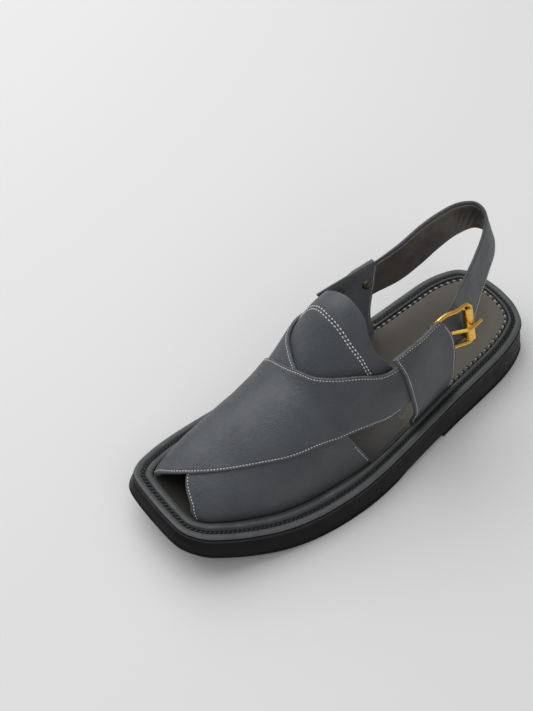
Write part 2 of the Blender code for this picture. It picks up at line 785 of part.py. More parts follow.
def make_buckle_prong(parts, material):
    """The prong, from the front bar over the roller."""
    top, low = strap_point(*ROLLER_TOP), strap_point(*ROLLER_LOW)
    middle = (top + low) / 2
    along, around = (np.array(FRONT_BAR_TOP) + FRONT_BAR_LOW) / 2
    start = behind_quarter(along, around)
    forward = middle - start
    forward /= np.linalg.norm(forward)
    outward = np.cross(low - top, forward)
    outward /= np.linalg.norm(outward)
    over = middle + outward * (ROLLER_RADIUS + CLEARANCE + PRONG_RADIUS)
    points = smooth_through([
        start + forward * (BUCKLE_WIRE + CLEARANCE + PRONG_RADIUS),
        start + forward * PRONG_SHANK - outward * PRONG_DIP,
        over - forward * PRONG_BEND,
        over,
        over + forward * PRONG_TIP - outward * PRONG_RADIUS,
    ], 3)
    thing = tube("buckle_prong", points, PRONG_RADIUS, False, parts)
    return finish(thing, material)


def make_rivet(parts, material):
    """The brass cap on the inner face of the inner quarter."""
    seat = over_last(RIVET_ALONG, RIVET_ROUND, BAND_END_UNDER - CLEARANCE)
    inward = seat - over_last(RIVET_ALONG, RIVET_ROUND, BAND_END_UNDER)
    inward /= np.linalg.norm(inward)
    mesh = bpy.data.meshes.new("rivet")
    shape = bmesh.new()
    bmesh.ops.create_cone(shape, cap_ends=True, segments=20, radius1=RIVET_RADIUS,
                          radius2=RIVET_RADIUS * 0.8, depth=RIVET_RISE)
    shape.to_mesh(mesh)
    shape.free()
    thing = new_object("rivet", mesh, parts)
    thing.location = Vector(seat + inward * RIVET_RISE / 2)
    thing.rotation_euler = Vector(inward).to_track_quat("Z", "Y").to_euler()
    return finish(thing, material)


def main():
    for thing in list(bpy.data.objects):
        bpy.data.objects.remove(thing)
    parts = bpy.data.collections.new("peshawari_chappal")
    cutters = bpy.data.collections.new("cutters")
    bpy.context.scene.collection.children.link(parts)
    bpy.context.scene.collection.children.link(cutters)

    rubber = make_material("black_rubber", (0.012, 0.012, 0.014), 0.55)
    leather = make_material("grey_leather", (0.075, 0.080, 0.085), 0.50)
    welt_leather = make_material("welt_leather", (0.095, 0.100, 0.105), 0.55)
    footbed = make_material("footbed_leather", (0.125, 0.108, 0.085), 0.50)
    brass = make_material("brass", (0.85, 0.50, 0.08), 0.25, 1.0)

    make_outsole(parts, cutters, rubber)
    make_welt(parts, welt_leather)
    make_insole(parts, footbed)
    make_upper(parts, cutters, leather)
    make_tongue(parts, leather)
    make_quarter_lateral(parts, leather)
    make_quarter_medial(parts, cutters, leather)
    make_heel_strap(parts, leather)
    make_buckle_frame(parts, brass)
    make_buckle_roller(parts, brass)
    make_buckle_prong(parts, brass)
    make_rivet(parts, brass)


main()
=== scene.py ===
"""The looks of a left peshawari chappal: leather bands, stitching, braided welt, buckle and studio.

The toe points along -Y, the outer side of the foot is +X and the floor is z = 0. Lengths are in
metres. In the tables "along" runs from the toe (0) to the heel (1) of the sole, and "round" runs
over the last from its inner feather line (-1) by the crown (0) to its outer feather line (1).
"""
import math

import bmesh
import bpy
import numpy as np
from bpy.props import FloatProperty, FloatVectorProperty, PointerProperty
from mathutils import Matrix, Vector


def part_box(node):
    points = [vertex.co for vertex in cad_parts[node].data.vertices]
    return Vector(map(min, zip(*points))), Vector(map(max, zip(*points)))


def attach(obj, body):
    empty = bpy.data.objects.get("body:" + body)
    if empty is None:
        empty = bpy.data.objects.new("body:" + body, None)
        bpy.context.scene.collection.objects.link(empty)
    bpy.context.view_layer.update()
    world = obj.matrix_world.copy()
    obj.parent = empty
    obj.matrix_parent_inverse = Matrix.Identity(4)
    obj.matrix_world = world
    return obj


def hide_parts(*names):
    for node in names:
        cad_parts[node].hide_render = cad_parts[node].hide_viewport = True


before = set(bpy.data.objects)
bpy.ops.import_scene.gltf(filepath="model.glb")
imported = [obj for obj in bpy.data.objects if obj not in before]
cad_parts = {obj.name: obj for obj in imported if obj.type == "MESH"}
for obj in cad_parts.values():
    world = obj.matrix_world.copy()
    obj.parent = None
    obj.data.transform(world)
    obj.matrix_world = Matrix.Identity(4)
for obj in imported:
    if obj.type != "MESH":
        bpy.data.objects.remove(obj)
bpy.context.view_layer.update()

bl_info = {
    "name": "Peshawari chappal",
    "version": (1, 0, 0),
    "blender": (4, 5, 0),
    "location": "View3D > Sidebar > Chappal",
    "description": "Builds the leather, stitching, buckle and sole of a peshawari chappal",
    "category": "Object",
}

WELT_LOW, WELT_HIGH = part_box("welt")

# Sole
SOLE_LENGTH = WELT_HIGH.y - WELT_LOW.y
BALL_WIDTH = 0.110
SOLE_AT_TOE = 0.0145
SOLE_AT_HEEL = 0.0260
TOE_SPRING = 0.0218
SPRING_START = 0.312
SIDE_FLARE = 0.0042
BEAD_HEIGHT = 0.0022
BEAD_DEPTH = 0.0008
FOOT_RIB = 0.0018
ARCH_START = 0.42
HEEL_BREAST = 0.652
ARCH_RISE = 0.0030

# Welt and insole
CLEARANCE = 0.0003
WELT_AT_TOE = 0.0115
WELT_AT_WAIST = 0.0092
WELT_TAPER_START = 0.30
WELT_TAPER_END = 0.50
OUTER_ROLL = 0.0042
OUTER_ROLL_RISE = 0.0026
GROOVE = 0.0024
GROOVE_RISE = 0.0012
INNER_ROLL_RISE = 0.0037
INSOLE = 0.0023

# Upper
INSTEP_HEIGHT = 0.096
BAND = 0.0020
TOP_BAND = 0.0028
TOP_BAND_LIFT = 0.0010
TOE_ROUNDING = 0.0030
TOE_SQUARE_MEDIAL = 0.40
TOE_SQUARE_LATERAL = 0.04
LIFT_SHARE = 0.16
TONGUE = 0.0020
QUARTER = 0.0022
QUARTER_MEDIAL = 0.0024
POCKET_LAYER = 0.0012
POCKET_EDGE = 0.0012
QUARTER_REST = 0.0015
BAND_GAP = 0.00005
BAND_END_TOP = TOP_BAND + TOP_BAND_LIFT + CLEARANCE
BAND_END_UNDER = BAND + CLEARANCE

# Strap, buckle and rivet
STRAP = 0.0022
SKIVED_STRAP = 0.0014
BUCKLE_WIRE = 0.0015
ROLLER_RADIUS = 0.0035
ROLLER_SHARE = 0.88
LEG_ARCH = 0.0012
PRONG_RADIUS = 0.0013
PRONG_DIP = 0.0009
PRONG_SHANK = 0.0095
PRONG_BEND = 0.0060
PRONG_TIP = 0.0075
RIVET_RADIUS = 0.0040
RIVET_RISE = 0.0022

# What the inner quarter's pocket holds
POCKET = 2 * POCKET_LAYER + SKIVED_STRAP + 2 * CLEARANCE

# Fineness and edges of the meshes; an edge is rubbed, and a seam pulls in, over about these widths
LOOP_POINTS = 360
STRAP_STEPS = 14
CORNER_SOFTNESS = 0.008
EDGE_ROUND = 0.0008
RUB_WIDTH = 0.0009
SEAM_WIDTH = 0.0007
TONGUE_SEAM_GAP = 0.0010
TONGUE_STRETCH = 1.25
# Painted shade on the insole: its top darkens towards the toe between these shares of along, standing in
# for the shadow under the bands
PAINTED_SHADE_ALONG = (0.62, 0.52)
EDGE_STEPS = (0.0, 0.00008, 0.00025, 0.0005, 0.0008, 0.0012, 0.0017, 0.0022, 0.0027, 0.0033, 0.0042)

# Camera, seen from the photograph's place
CAMERA_PLACE = (0.34669, -0.35413, 0.69926)
CAMERA_RIGHT = (0.62207, 0.78290, 0.00995)
CAMERA_UP = (-0.61851, 0.48358, 0.61936)
CAMERA_LENS = 63.3
CAMERA_SENSOR = 36.0

# Studio: each light's place, size in metres and power in watts
LIGHT_AIM = (0.0, 0.0, 0.03)
LIGHTS = (
    ("key", (-0.95, -0.10, 1.35), 1.9, 23.0),
    ("fill", (0.9, -0.3, 1.1), 1.2, 3.0),
)
SKY_STRENGTH = 0.30
FLOOR_HALF = 4.0

# Lip line of the sole: widths to the inner and outer side of the centre line, shares of BALL_WIDTH
OUTLINE = (
    # along, medial, lateral
    (0.000, 0.284, 0.131),
    (0.010, 0.337, 0.190),
    (0.033, 0.390, 0.256),
    (0.067, 0.429, 0.306),
    (0.120, 0.468, 0.368),
    (0.200, 0.495, 0.441),
    (0.300, 0.497, 0.488),
    (0.400, 0.480, 0.498),
    (0.500, 0.456, 0.469),
    (0.600, 0.438, 0.424),
    (0.700, 0.431, 0.379),
    (0.800, 0.439, 0.341),
    (0.880, 0.441, 0.303),
    (0.935, 0.412, 0.253),
    (0.970, 0.362, 0.195),
    (0.992, 0.260, 0.085),
    (1.000, 0.130, -0.040),
)

# Sections of the last: the crown's place across (share of BALL_WIDTH) and height over the insole
# (share of INSTEP_HEIGHT), then for each side its bulge, the bulge's height and the crown's breadth
LAST = (
    # along, crown, height, medial bulge, rise, breadth, lateral bulge, rise, breadth
    (0.045, -0.095, 0.085, 0.000, 0.20, 0.34, 0.000, 0.34, 0.48),
    (0.100, -0.090, 0.210, 0.000, 0.54, 0.55, 0.000, 0.56, 0.55),
    (0.200, -0.085, 0.370, 0.020, 0.62, 0.56, 0.000, 0.58, 0.54),
    (0.300, -0.080, 0.490, 0.060, 0.66, 0.55, 0.000, 0.50, 0.62),
    (0.370, -0.085, 0.575, 0.120, 0.70, 0.56, -0.050, 0.40, 0.55),
    (0.455, -0.110, 0.930, 0.115, 0.54, 0.95, -0.020, 0.34, 0.48),
    (0.510, -0.130, 1.000, 0.120, 0.54, 1.05, 0.020, 0.34, 0.55),
    (0.670, -0.105, 1.090, 0.155, 0.38, 1.10, 0.065, 0.34, 0.62),
)

# The two bands: from the foot edge (0) to the hidden end (1), where the front and rear edges run
TOP_BAND_EDGES = (
    # share, front along, front round, rear along, rear round
    (0.00, 0.047, -1.00, 0.437, -1.00),
    (0.12, 0.053, -0.42, 0.400, -0.80),
    (0.24, 0.072, -0.05, 0.380, -0.62),
    (0.36, 0.108, 0.16, 0.374, -0.42),
    (0.48, 0.165, 0.32, 0.372, -0.22),
    (0.60, 0.240, 0.44, 0.380, 0.00),
    (0.72, 0.320, 0.52, 0.398, 0.19),
    (0.84, 0.400, 0.65, 0.440, 0.385),
    (0.93, 0.480, 0.75, 0.500, 0.505),
    (1.00, 0.590, 0.77, 0.590, 0.540),
)
UNDER_BAND_EDGES = (
    # share, front along, front round, rear along, rear round
    (0.00, 0.0495, 1.00, 0.443, 1.00),
    (0.10, 0.0505, 0.60, 0.418, 0.82),
    (0.22, 0.066, 0.14, 0.395, 0.62),
    (0.34, 0.108, -0.12, 0.380, 0.40),
    (0.46, 0.165, -0.28, 0.373, 0.18),
    (0.58, 0.240, -0.42, 0.378, -0.04),
    (0.70, 0.320, -0.56, 0.394, -0.24),
    (0.82, 0.400, -0.725, 0.424, -0.425),
    (0.92, 0.480, -0.825, 0.490, -0.555),
    (1.00, 0.590, -0.88, 0.590, -0.570),
)

# The quarters: from the foot edge (0) to the top edge (1)
QUARTER_LATERAL_EDGES = (
    # share, front along, front round, rear along, rear round
    (0.00, 0.573, 1.00, 0.707, 1.00),
    (0.22, 0.566, 0.86, 0.708, 0.86),
    (0.45, 0.557, 0.74, 0.705, 0.77),
    (0.65, 0.551, 0.65, 0.704, 0.68),
    (0.82, 0.545, 0.57, 0.698, 0.60),
    (0.93, 0.535, 0.50, 0.683, 0.52),
    (1.00, 0.528, 0.465, 0.664, 0.468),
)
QUARTER_MEDIAL_EDGES = (
    # share, front along, front round, rear along, rear round
    (0.00, 0.560, -1.00, 0.680, -1.00),
    (0.22, 0.562, -0.90, 0.683, -0.87),
    (0.45, 0.555, -0.80, 0.690, -0.775),
    (0.65, 0.546, -0.70, 0.694, -0.70),
    (0.82, 0.534, -0.61, 0.692, -0.62),
    (0.93, 0.522, -0.53, 0.688, -0.545),
    (1.00, 0.514, -0.487, 0.677, -0.500),
)

# The tongue: its hidden front edge, its rear edge and the double seam across it
TONGUE_EDGES = (
    # round, front along, rear along, seam along
    (-0.640, 0.400, 0.540, 0.455),
    (-0.487, 0.350, 0.528, 0.457),
    (-0.310, 0.330, 0.511, 0.460),
    (-0.200, 0.330, 0.506, 0.460),
    (-0.100, 0.330, 0.508, 0.458),
    (0.000, 0.330, 0.511, 0.456),
    (0.200, 0.330, 0.513, 0.459),
    (0.290, 0.335, 0.506, 0.463),
    (0.390, 0.345, 0.507, 0.472),
    (0.450, 0.355, 0.517, 0.476),
    (0.600, 0.410, 0.550, 0.490),
)

# The strap between the quarters: its top and its lower edge, across in shares of BALL_WIDTH, along in
# shares of SOLE_LENGTH and up in shares of INSTEP_HEIGHT over the floor
STRAP_EDGES = (
    # top across, along, up, low across, along, up
    (-0.396, 0.760, 0.972, -0.405, 0.773, 0.547),
    (-0.400, 0.817, 1.022, -0.405, 0.837, 0.583),
    (-0.391, 0.870, 1.060, -0.400, 0.895, 0.656),
    (-0.369, 0.920, 1.076, -0.382, 0.943, 0.712),
    (-0.309, 0.952, 1.076, -0.336, 0.985, 0.740),
    (-0.227, 0.953, 1.056, -0.236, 0.997, 0.735),
    (-0.151, 0.927, 0.990, -0.145, 0.977, 0.693),
    (-0.064, 0.873, 0.943, -0.059, 0.930, 0.656),
    (0.004, 0.823, 0.922, 0.042, 0.870, 0.635),
    (0.062, 0.778, 0.917, 0.138, 0.817, 0.625),
    (0.120, 0.737, 0.917, 0.218, 0.767, 0.625),
)
STRAP_TOP_MEDIAL = -0.535
STRAP_LOW_MEDIAL = -0.790
STRAP_TOP_LATERAL = 0.500
STRAP_LOW_LATERAL = 0.715
POCKET_START = 0.630
POCKET_MOUTH = 0.698
POCKET_LEAD = 0.04
POCKET_FOOT = (0.03, 0.12)
POCKET_TOP = (0.012, 0.045)
POCKET_ROLL = 0.8
REST_ALONG = (0.600, 0.665)
LATERAL_FOOT = (0.02, 0.17)
MEDIAL_FOOT = (0.0, 0.09)
TAIL_ALONG = (0.700, 0.676, 0.652)

# The buckle: the rear bar as the strap's edges are, the front bar and legs as along and round
ROLLER_TOP = (0.189, 0.757, 0.932)
ROLLER_LOW = (0.262, 0.761, 0.637)
FRONT_BAR_TOP = (0.652, 0.500)
FRONT_BAR_LOW = (0.688, 0.700)
LEG_TOP = (0.690, 0.490)
LEG_LOW = (0.716, 0.710)
RIVET_ALONG = 0.668
RIVET_ROUND = -0.660
RIVET_TILT = (0.0, -0.10, 0.40)
NAIL_ALONG = 0.690
NAIL_ROUND = -0.975
NAIL_HEAD = 0.0011


class ChappalSizes(bpy.types.PropertyGroup):
    """Sizes of what the shoemaker adds to the cut pieces."""
    stitch_pitch: FloatProperty(
        name="Stitch pitch", description="From one stitch to the next", default=0.0020, unit="LENGTH")
    stitch_length: FloatProperty(
        name="Stitch length", description="Length of the thread that shows", default=0.0013, unit="LENGTH")
    stitch_width: FloatProperty(
        name="Stitch width", description="Width of the thread that shows", default=0.0006, unit="LENGTH")
    stitch_inset: FloatProperty(
        name="Stitch inset", description="From a leather edge to its row of stitches",
        default=0.0018, unit="LENGTH")
    stitch_dip: FloatProperty(
        name="Stitch dip", description="How far the thread pulls the leather in",
        default=0.00025, unit="LENGTH")
    braid_pitch: FloatProperty(
        name="Braid pitch", description="From one turn of the welt's braid to the next",
        default=0.0030, unit="LENGTH")
    footbed_pitch: FloatProperty(
        name="Footbed pitch", description="From one stitch to the next round the insole",
        default=0.0050, unit="LENGTH")
    wrinkle_depth: FloatProperty(
        name="Wrinkle depth", description="Depth of the folds in the strap's lining",
        default=0.0011, unit="LENGTH")
    grain_scale: FloatProperty(
        name="Grain scale", description="Pores of the leather for each metre", default=620.0)


class ChappalColours(bpy.types.PropertyGroup):
    """Colours of the finishes."""
    leather: FloatVectorProperty(
        name="Leather", description="Upper, tongue, quarters and strap", subtype="COLOR",
        default=(0.073, 0.080, 0.088))
    leather_shade: FloatVectorProperty(
        name="Leather shade", description="Darker clouds in the leather", subtype="COLOR",
        default=(0.054, 0.060, 0.068))
    leather_worn: FloatVectorProperty(
        name="Leather edge", description="Cut and rubbed edges", subtype="COLOR",
        default=(0.118, 0.121, 0.124))
    welt: FloatVectorProperty(
        name="Welt", description="Welt leather", subtype="COLOR", default=(0.104, 0.112, 0.114))
    footbed: FloatVectorProperty(
        name="Footbed", description="Insole leather", subtype="COLOR", default=(0.140, 0.124, 0.101))
    lining: FloatVectorProperty(
        name="Lining", description="Lining of strap and upper", subtype="COLOR",
        default=(0.112, 0.095, 0.082))
    thread: FloatVectorProperty(
        name="Thread", description="Pale thread", subtype="COLOR", default=(0.86, 0.86, 0.83))
    braid: FloatVectorProperty(
        name="Braid", description="Black cord in the welt", subtype="COLOR",
        default=(0.010, 0.011, 0.012))
    rubber: FloatVectorProperty(
        name="Rubber", description="Outsole", subtype="COLOR", default=(0.0035, 0.0035, 0.0045))
    brass: FloatVectorProperty(
        name="Brass", description="Buckle, nail and rivet", subtype="COLOR", default=(0.90, 0.56, 0.11))
    floor: FloatVectorProperty(
        name="Floor", description="Studio floor", subtype="COLOR", default=(0.84, 0.845, 0.84))


def sizes():
    return bpy.context.scene.chappal_sizes


def colours():
    return bpy.context.scene.chappal_colours


# Curves and the last


def blend(table, at):
    """A table's rows at shares of its first column, by a smooth curve through its rows."""
    rows = np.array(table)
    keys = rows[:, 0]
    at = np.clip(np.asarray(at, dtype=float), keys[0], keys[-1])
    i = np.clip(np.searchsorted(keys, at, side="right") - 1, 0, len(keys) - 2)
    before = np.maximum(i - 1, 0)
    after = np.minimum(i + 2, len(keys) - 1)
    span = (keys[i + 1] - keys[i])[..., None]
    t = (at - keys[i])[..., None] / span
    slope_in = (rows[i + 1] - rows[before]) / (keys[i + 1] - keys[before])[..., None]
    slope_out = (rows[after] - rows[i]) / (keys[after] - keys[i])[..., None]
    return (rows[i] * (1 + 2 * t) * (1 - t) ** 2 + rows[i + 1] * t * t * (3 - 2 * t)
            + span * t * (1 - t) * (slope_in * (1 - t) - slope_out * t))


def ramp(value, start, end):
    """0 before start, 1 after end, smooth between."""
    t = np.clip((value - start) / (end - start), 0.0, 1.0)
    return t * t * (3 - 2 * t)


def along_of(y):
    return y / SOLE_LENGTH + 0.5


def y_of(along):
    return (along - 0.5) * SOLE_LENGTH


def ground(y):
    """Height of the sole's underside: flat, then rising to the toe."""
    lift = np.maximum(0.0, (SPRING_START - along_of(y)) / SPRING_START)
    return TOE_SPRING * lift * lift


def lip(y):
    """Height of the sole's top."""
    return ground(y) + SOLE_AT_TOE + (SOLE_AT_HEEL - SOLE_AT_TOE) * along_of(y)


def insole_top(y):
    return lip(y) + CLEARANCE + INSOLE


def welt_width(y):
    share = ramp(along_of(y), WELT_TAPER_START, WELT_TAPER_END)
    return WELT_AT_TOE + (WELT_AT_WAIST - WELT_AT_TOE) * share


def smooth_through(points, subdivisions, closed=False):
    """Points on a smooth curve through the given points, with even steps in each span."""
    points = [np.array(p, dtype=float) for p in points]
    count = len(points)
    spans = count if closed else count - 1
    result = []
    for i in range(spans):
        if closed:
            p0, p1, p2, p3 = (points[(i + k) % count] for k in (-1, 0, 1, 2))
        else:
            p1, p2 = points[i], points[i + 1]
            p0 = points[i - 1] if i > 0 else 2 * p1 - p2
            p3 = points[i + 2] if i + 2 < count else 2 * p2 - p1
        d0, d1, d2 = (max(np.linalg.norm(b - a), 1e-6) ** 0.5 for a, b in ((p0, p1), (p1, p2), (p2, p3)))
        m1 = (p1 - p0) / d0 - (p2 - p0) / (d0 + d1) + (p2 - p1) / d1
        m2 = (p2 - p1) / d1 - (p3 - p1) / (d1 + d2) + (p3 - p2) / d2
        m1, m2 = m1 * d1, m2 * d1
        for k in range(subdivisions):
            t = k / subdivisions
            result.append((2 * t ** 3 - 3 * t ** 2 + 1) * p1 + (t ** 3 - 2 * t ** 2 + t) * m1
                          + (-2 * t ** 3 + 3 * t ** 2) * p2 + (t ** 3 - t ** 2) * m2)
    if not closed:
        result.append(points[-1])
    return np.array(result)


def lip_loop():
    """The lip line as even points from the middle of the toe, by the inner side and round the heel."""
    medial = [(-row[1] * BALL_WIDTH, y_of(row[0])) for row in OUTLINE]
    lateral = [(row[2] * BALL_WIDTH, y_of(row[0])) for row in reversed(OUTLINE)]
    loop = smooth_through(medial + lateral, 8, closed=True)
    closed = np.vstack((loop, loop[:1]))
    travelled = np.concatenate(((0.0,), np.cumsum(np.linalg.norm(np.diff(closed, axis=0), axis=1))))
    half_toe = (OUTLINE[0][1] + OUTLINE[0][2]) * BALL_WIDTH / 2
    places = (np.arange(LOOP_POINTS) / LOOP_POINTS * travelled[-1] - half_toe) % travelled[-1]
    return np.stack([np.interp(places, travelled, closed[:, k]) for k in (0, 1)], axis=1)


def inward_normals(loop):
    """Inward directions of the lip line, turning gently round its corners."""
    tangents = np.roll(loop, -1, axis=0) - np.roll(loop, 1, axis=0)
    spacing = np.linalg.norm(tangents, axis=1).mean() / 2
    tangents /= np.linalg.norm(tangents, axis=1)[:, None]
    normals = np.stack((tangents[:, 1], -tangents[:, 0]), axis=1)
    reach = int(3 * CORNER_SOFTNESS / spacing)
    soft = sum(np.exp(-0.5 * (k * spacing / CORNER_SOFTNESS) ** 2) * np.roll(normals, k, axis=0)
               for k in range(-reach, reach + 1))
    return soft / np.linalg.norm(soft, axis=1)[:, None]


LIP = lip_loop()
INWARD = inward_normals(LIP)


def inset_line(inset):
    """The lip line moved inwards by a length or by a function of how far back a point is."""
    amount = inset(LIP[:, 1]) if callable(inset) else np.full(len(LIP), inset)
    return LIP + INWARD * amount[:, None]


def loop_at(inset, height):
    """The lip line moved inwards, at a height that is a function of how far back a point is."""
    line = inset_line(inset)
    return np.column_stack((line, height(line[:, 1])))


def feather_branches():
    """The last's feather line, as the inner and the outer branch from toe to heel."""
    loop = inset_line(lambda y: welt_width(y) + 2 * CLEARANCE + TOP_BAND)
    front = loop[:, 1].min()
    half = len(loop) // 2
    branches = []
    for branch in (loop[:half], loop[half:][::-1]):
        branch = branch[branch[:, 1] > front + CLEARANCE]
        branches.append(branch[np.argsort(branch[:, 1])])
    return branches, front


FEATHER, LAST_FRONT = feather_branches()


def feather(y, side):
    """How far across the last's feather line is; side is -1 for the inner and 1 for the outer one."""
    inner = np.interp(y, FEATHER[0][:, 1], FEATHER[0][:, 0])
    outer = np.interp(y, FEATHER[1][:, 1], FEATHER[1][:, 0])
    across = np.where(side < 0, inner, outer)
    square = np.where(side < 0, TOE_SQUARE_MEDIAL, TOE_SQUARE_LATERAL)
    back = np.clip((y - LAST_FRONT) / TOE_ROUNDING, square, 1.0)
    closing = (1 - (1 - back) ** 3) ** (1 / 3)
    crown = blend(LAST, along_of(y))[..., 1] * BALL_WIDTH
    return crown + (across - crown) * closing


def last_point(along, around):
    """Points of the last's surface."""
    along, around = np.broadcast_arrays(np.asarray(along, float), np.asarray(around, float))
    y = y_of(along)
    row = blend(LAST, along)
    side = np.where(around < 0, -1.0, 1.0)
    own = np.where(side[..., None] < 0, row[..., 3:6], row[..., 6:9])
    bulge, rise, breadth = own[..., 0], own[..., 1], own[..., 2]
    base = insole_top(y) + CLEARANCE
    height = row[..., 2] * INSTEP_HEIGHT
    crown = row[..., 1] * BALL_WIDTH
    edge = feather(y, side)
    t = 1 - np.minimum(np.abs(around), 1.0)
    weights = ((1 - t) ** 3, 3 * t * (1 - t) ** 2, 3 * t * t * (1 - t), t ** 3)
    across = (weights[0] * edge + weights[1] * (edge + side * bulge * BALL_WIDTH)
              + weights[2] * (crown + (edge - crown) * breadth) + weights[3] * crown)
    up = base + height * (weights[1] * rise + weights[2] + weights[3])
    return np.stack((across, y, up), axis=-1)


def unit(vectors):
    return vectors / np.maximum(np.linalg.norm(vectors, axis=-1), 1e-12)[..., None]


def facing(along, around):
    """Directions square to the last's surface."""
    step = 0.004
    lengthwise = last_point(along + step, around) - last_point(along - step, around)
    low, high = np.maximum(around - step, -1.0), np.minimum(around + step, 1.0)
    crosswise = last_point(along, high) - last_point(along, low)
    return unit(np.cross(crosswise, lengthwise))


def over_last(along, around, rise=0.0):
    """Points at a height over the last, square to its surface."""
    along, around, rise = np.broadcast_arrays(*(np.asarray(v, float) for v in (along, around, rise)))
    point = last_point(along, around) + facing(along, around) * rise[..., None]
    point[..., 2] = np.maximum(point[..., 2], insole_top(point[..., 1]) + CLEARANCE)
    return point


# Meshes


def piece_from(name, points, faces, materials, slots=None, sharp=50, wear_and_shade=None):
    """A closed mesh object with its faces pointing out; slots gives each face's material."""
    mesh = bpy.data.meshes.new(name)
    mesh.from_pydata([tuple(p) for p in points], [], faces)
    for material in materials:
        mesh.materials.append(material)
    if slots is not None:
        mesh.polygons.foreach_set("material_index", np.array(slots, dtype=np.int32))
    if wear_and_shade is not None:
        mesh.attributes.new("wear_and_shade", "FLOAT", "POINT").data.foreach_set("value", np.array(wear_and_shade, np.float32))
    shape = bmesh.new()
    shape.from_mesh(mesh)
    bmesh.ops.remove_doubles(shape, verts=shape.verts[:], dist=1e-6)
    if shape.calc_volume(signed=True) < 0:
        bmesh.ops.reverse_faces(shape, faces=shape.faces[:])
    shape.to_mesh(mesh)
    shape.free()
    mesh.shade_smooth()
    mesh.set_sharp_from_angle(angle=math.radians(sharp))
    thing = bpy.data.objects.new(name, mesh)
    bpy.context.scene.collection.objects.link(thing)
    return thing


def settle(piece, slot, *nodes):
    """Fixes a finished piece to the frame."""
    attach(piece, "root")
    if nodes:
        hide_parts(*nodes)


OUTER, INNER, RIM = 0, 1, 2


def wall_faces(rows, columns):
    """Faces of a closed wall between two grids, and the side that each belongs to."""
    shift = rows * columns
    faces, sides = [], []
    for i in range(rows - 1):
        for j in range(columns - 1):
            k = i * columns + j
            face = (k, k + 1, k + columns + 1, k + columns)
            faces += [face, tuple(shift + corner for corner in reversed(face))]
            sides += [INNER, OUTER]
    rim = list(range(columns))
    rim += [i * columns + columns - 1 for i in range(1, rows)]
    rim += [(rows - 1) * columns + j for j in range(columns - 2, -1, -1)]
    rim += [i * columns for i in range(rows - 2, 0, -1)]
    for i, corner in enumerate(rim):
        following = rim[(i + 1) % len(rim)]
        faces.append((corner, following, shift + following, shift + corner))
        sides.append(RIM)
    return faces, sides


def wall(name, inner, outer, materials, wear_and_shade=None):
    """A closed wall between two grids of points; the rubbed wear and painted shade of each point are given
    for the outer grid.
    """
    rows, columns = inner.shape[:2]
    faces, sides = wall_faces(rows, columns)
    points = np.concatenate((inner.reshape(-1, 3), outer.reshape(-1, 3)))
    rub = None
    if wear_and_shade is not None:
        rub = np.concatenate((np.zeros(rows * columns), wear_and_shade.reshape(-1)))
    return piece_from(name, points, faces, materials, sides, wear_and_shade=rub)


def ring_faces(rings, count, closed):
    """Faces between rings of points; closed joins the last ring to the first, else fans cap the ends."""
    faces = []
    for i in range(rings if closed else rings - 1):
        low, high = i * count, (i + 1) % rings * count
        for k in range(count):
            following = (k + 1) % count
            faces.append((low + k, low + following, high + following, high + k))
    if not closed:
        faces.append(tuple(range(count))[::-1])
        faces.append(tuple((rings - 1) * count + k for k in range(count)))
    return faces


def tube(name, points, radius, closed, material):
    """A round wire along points."""
    curve = bpy.data.curves.new(name, "CURVE")
    curve.dimensions = "3D"
    curve.bevel_depth = radius
    curve.bevel_resolution = 4
    curve.use_fill_caps = True
    line = curve.splines.new("POLY")
    line.points.add(len(points) - 1)
    for corner, point in zip(line.points, points):
        corner.co = (*point, 1.0)
    line.use_cyclic_u = closed
    guide = bpy.data.objects.new(name + "_guide", curve)
    bpy.context.scene.collection.objects.link(guide)
    mesh = evaluated_mesh(guide, name)
    bpy.data.curves.remove(curve)
    return from_mesh(name, mesh, material)


def evaluated_mesh(thing, name):
    """The object's mesh with its modifiers applied; the object is removed."""
    bpy.context.view_layer.update()
    mesh = bpy.data.meshes.new_from_object(thing.evaluated_get(bpy.context.evaluated_depsgraph_get()))
    bpy.data.objects.remove(thing)
    mesh.name = name
    return mesh


def from_mesh(name, mesh, material, sharp=50):
    shape = bmesh.new()
    shape.from_mesh(mesh)
    bmesh.ops.remove_doubles(shape, verts=shape.verts[:], dist=1e-6)
    shape.to_mesh(mesh)
    shape.free()
    if material:
        mesh.materials.clear()
        mesh.materials.append(material)
    mesh.shade_smooth()
    mesh.set_sharp_from_angle(angle=math.radians(sharp))
    thing = bpy.data.objects.new(name, mesh)
    bpy.context.scene.collection.objects.link(thing)
    return thing


def turned(name, profile, start, direction, material, segments=40, bored=False):
    """A turned shape: profile holds heights along the direction and radii, a closed ring if bored."""
    direction = unit(np.array(direction, float))
    aside = unit(np.cross(direction, (0.3, 0.2, 1.0)))
    across = np.cross(direction, aside)
    angles = np.arange(segments) * math.tau / segments
    circle = np.cos(angles)[:, None] * aside + np.sin(angles)[:, None] * across
    points = np.concatenate([start + direction * height + circle * radius for height, radius in profile])
    return piece_from(name, points, ring_faces(len(profile), segments, bored), [material], sharp=40)


# Leather panels over the last


def edge_speed(edges, shares, at_rear):
    """Metres of leather for each unit across a panel, at its front or rear edge."""
    row = blend(edges, shares)
    near = 0.03
    places = (1 - near, 1.0) if at_rear else (0.0, near)
    ends = [last_point(row[:, 1] + (row[:, 3] - row[:, 1]) * t, row[:, 2] + (row[:, 4] - row[:, 2]) * t)
            for t in places]
    return np.maximum(np.linalg.norm(ends[1] - ends[0], axis=-1) / near, 0.004)


def across_shares(front_speed, rear_speed, middle):
    """Shares across each row of a panel, close together near its two edges."""
    near = np.array(EDGE_STEPS)
    most = 0.42
    front = np.minimum(near[None] / front_speed[:, None], near[None] / near[-1] * most)
    rear = 1 - np.minimum(near[None] / rear_speed[:, None], near[None] / near[-1] * most)[:, ::-1]
    steps = np.linspace(0.0, 1.0, middle)[None, 1:-1]
    between = front[:, -1:] + (rear[:, :1] - front[:, -1:]) * steps
    return np.concatenate((front, between, rear), axis=1)


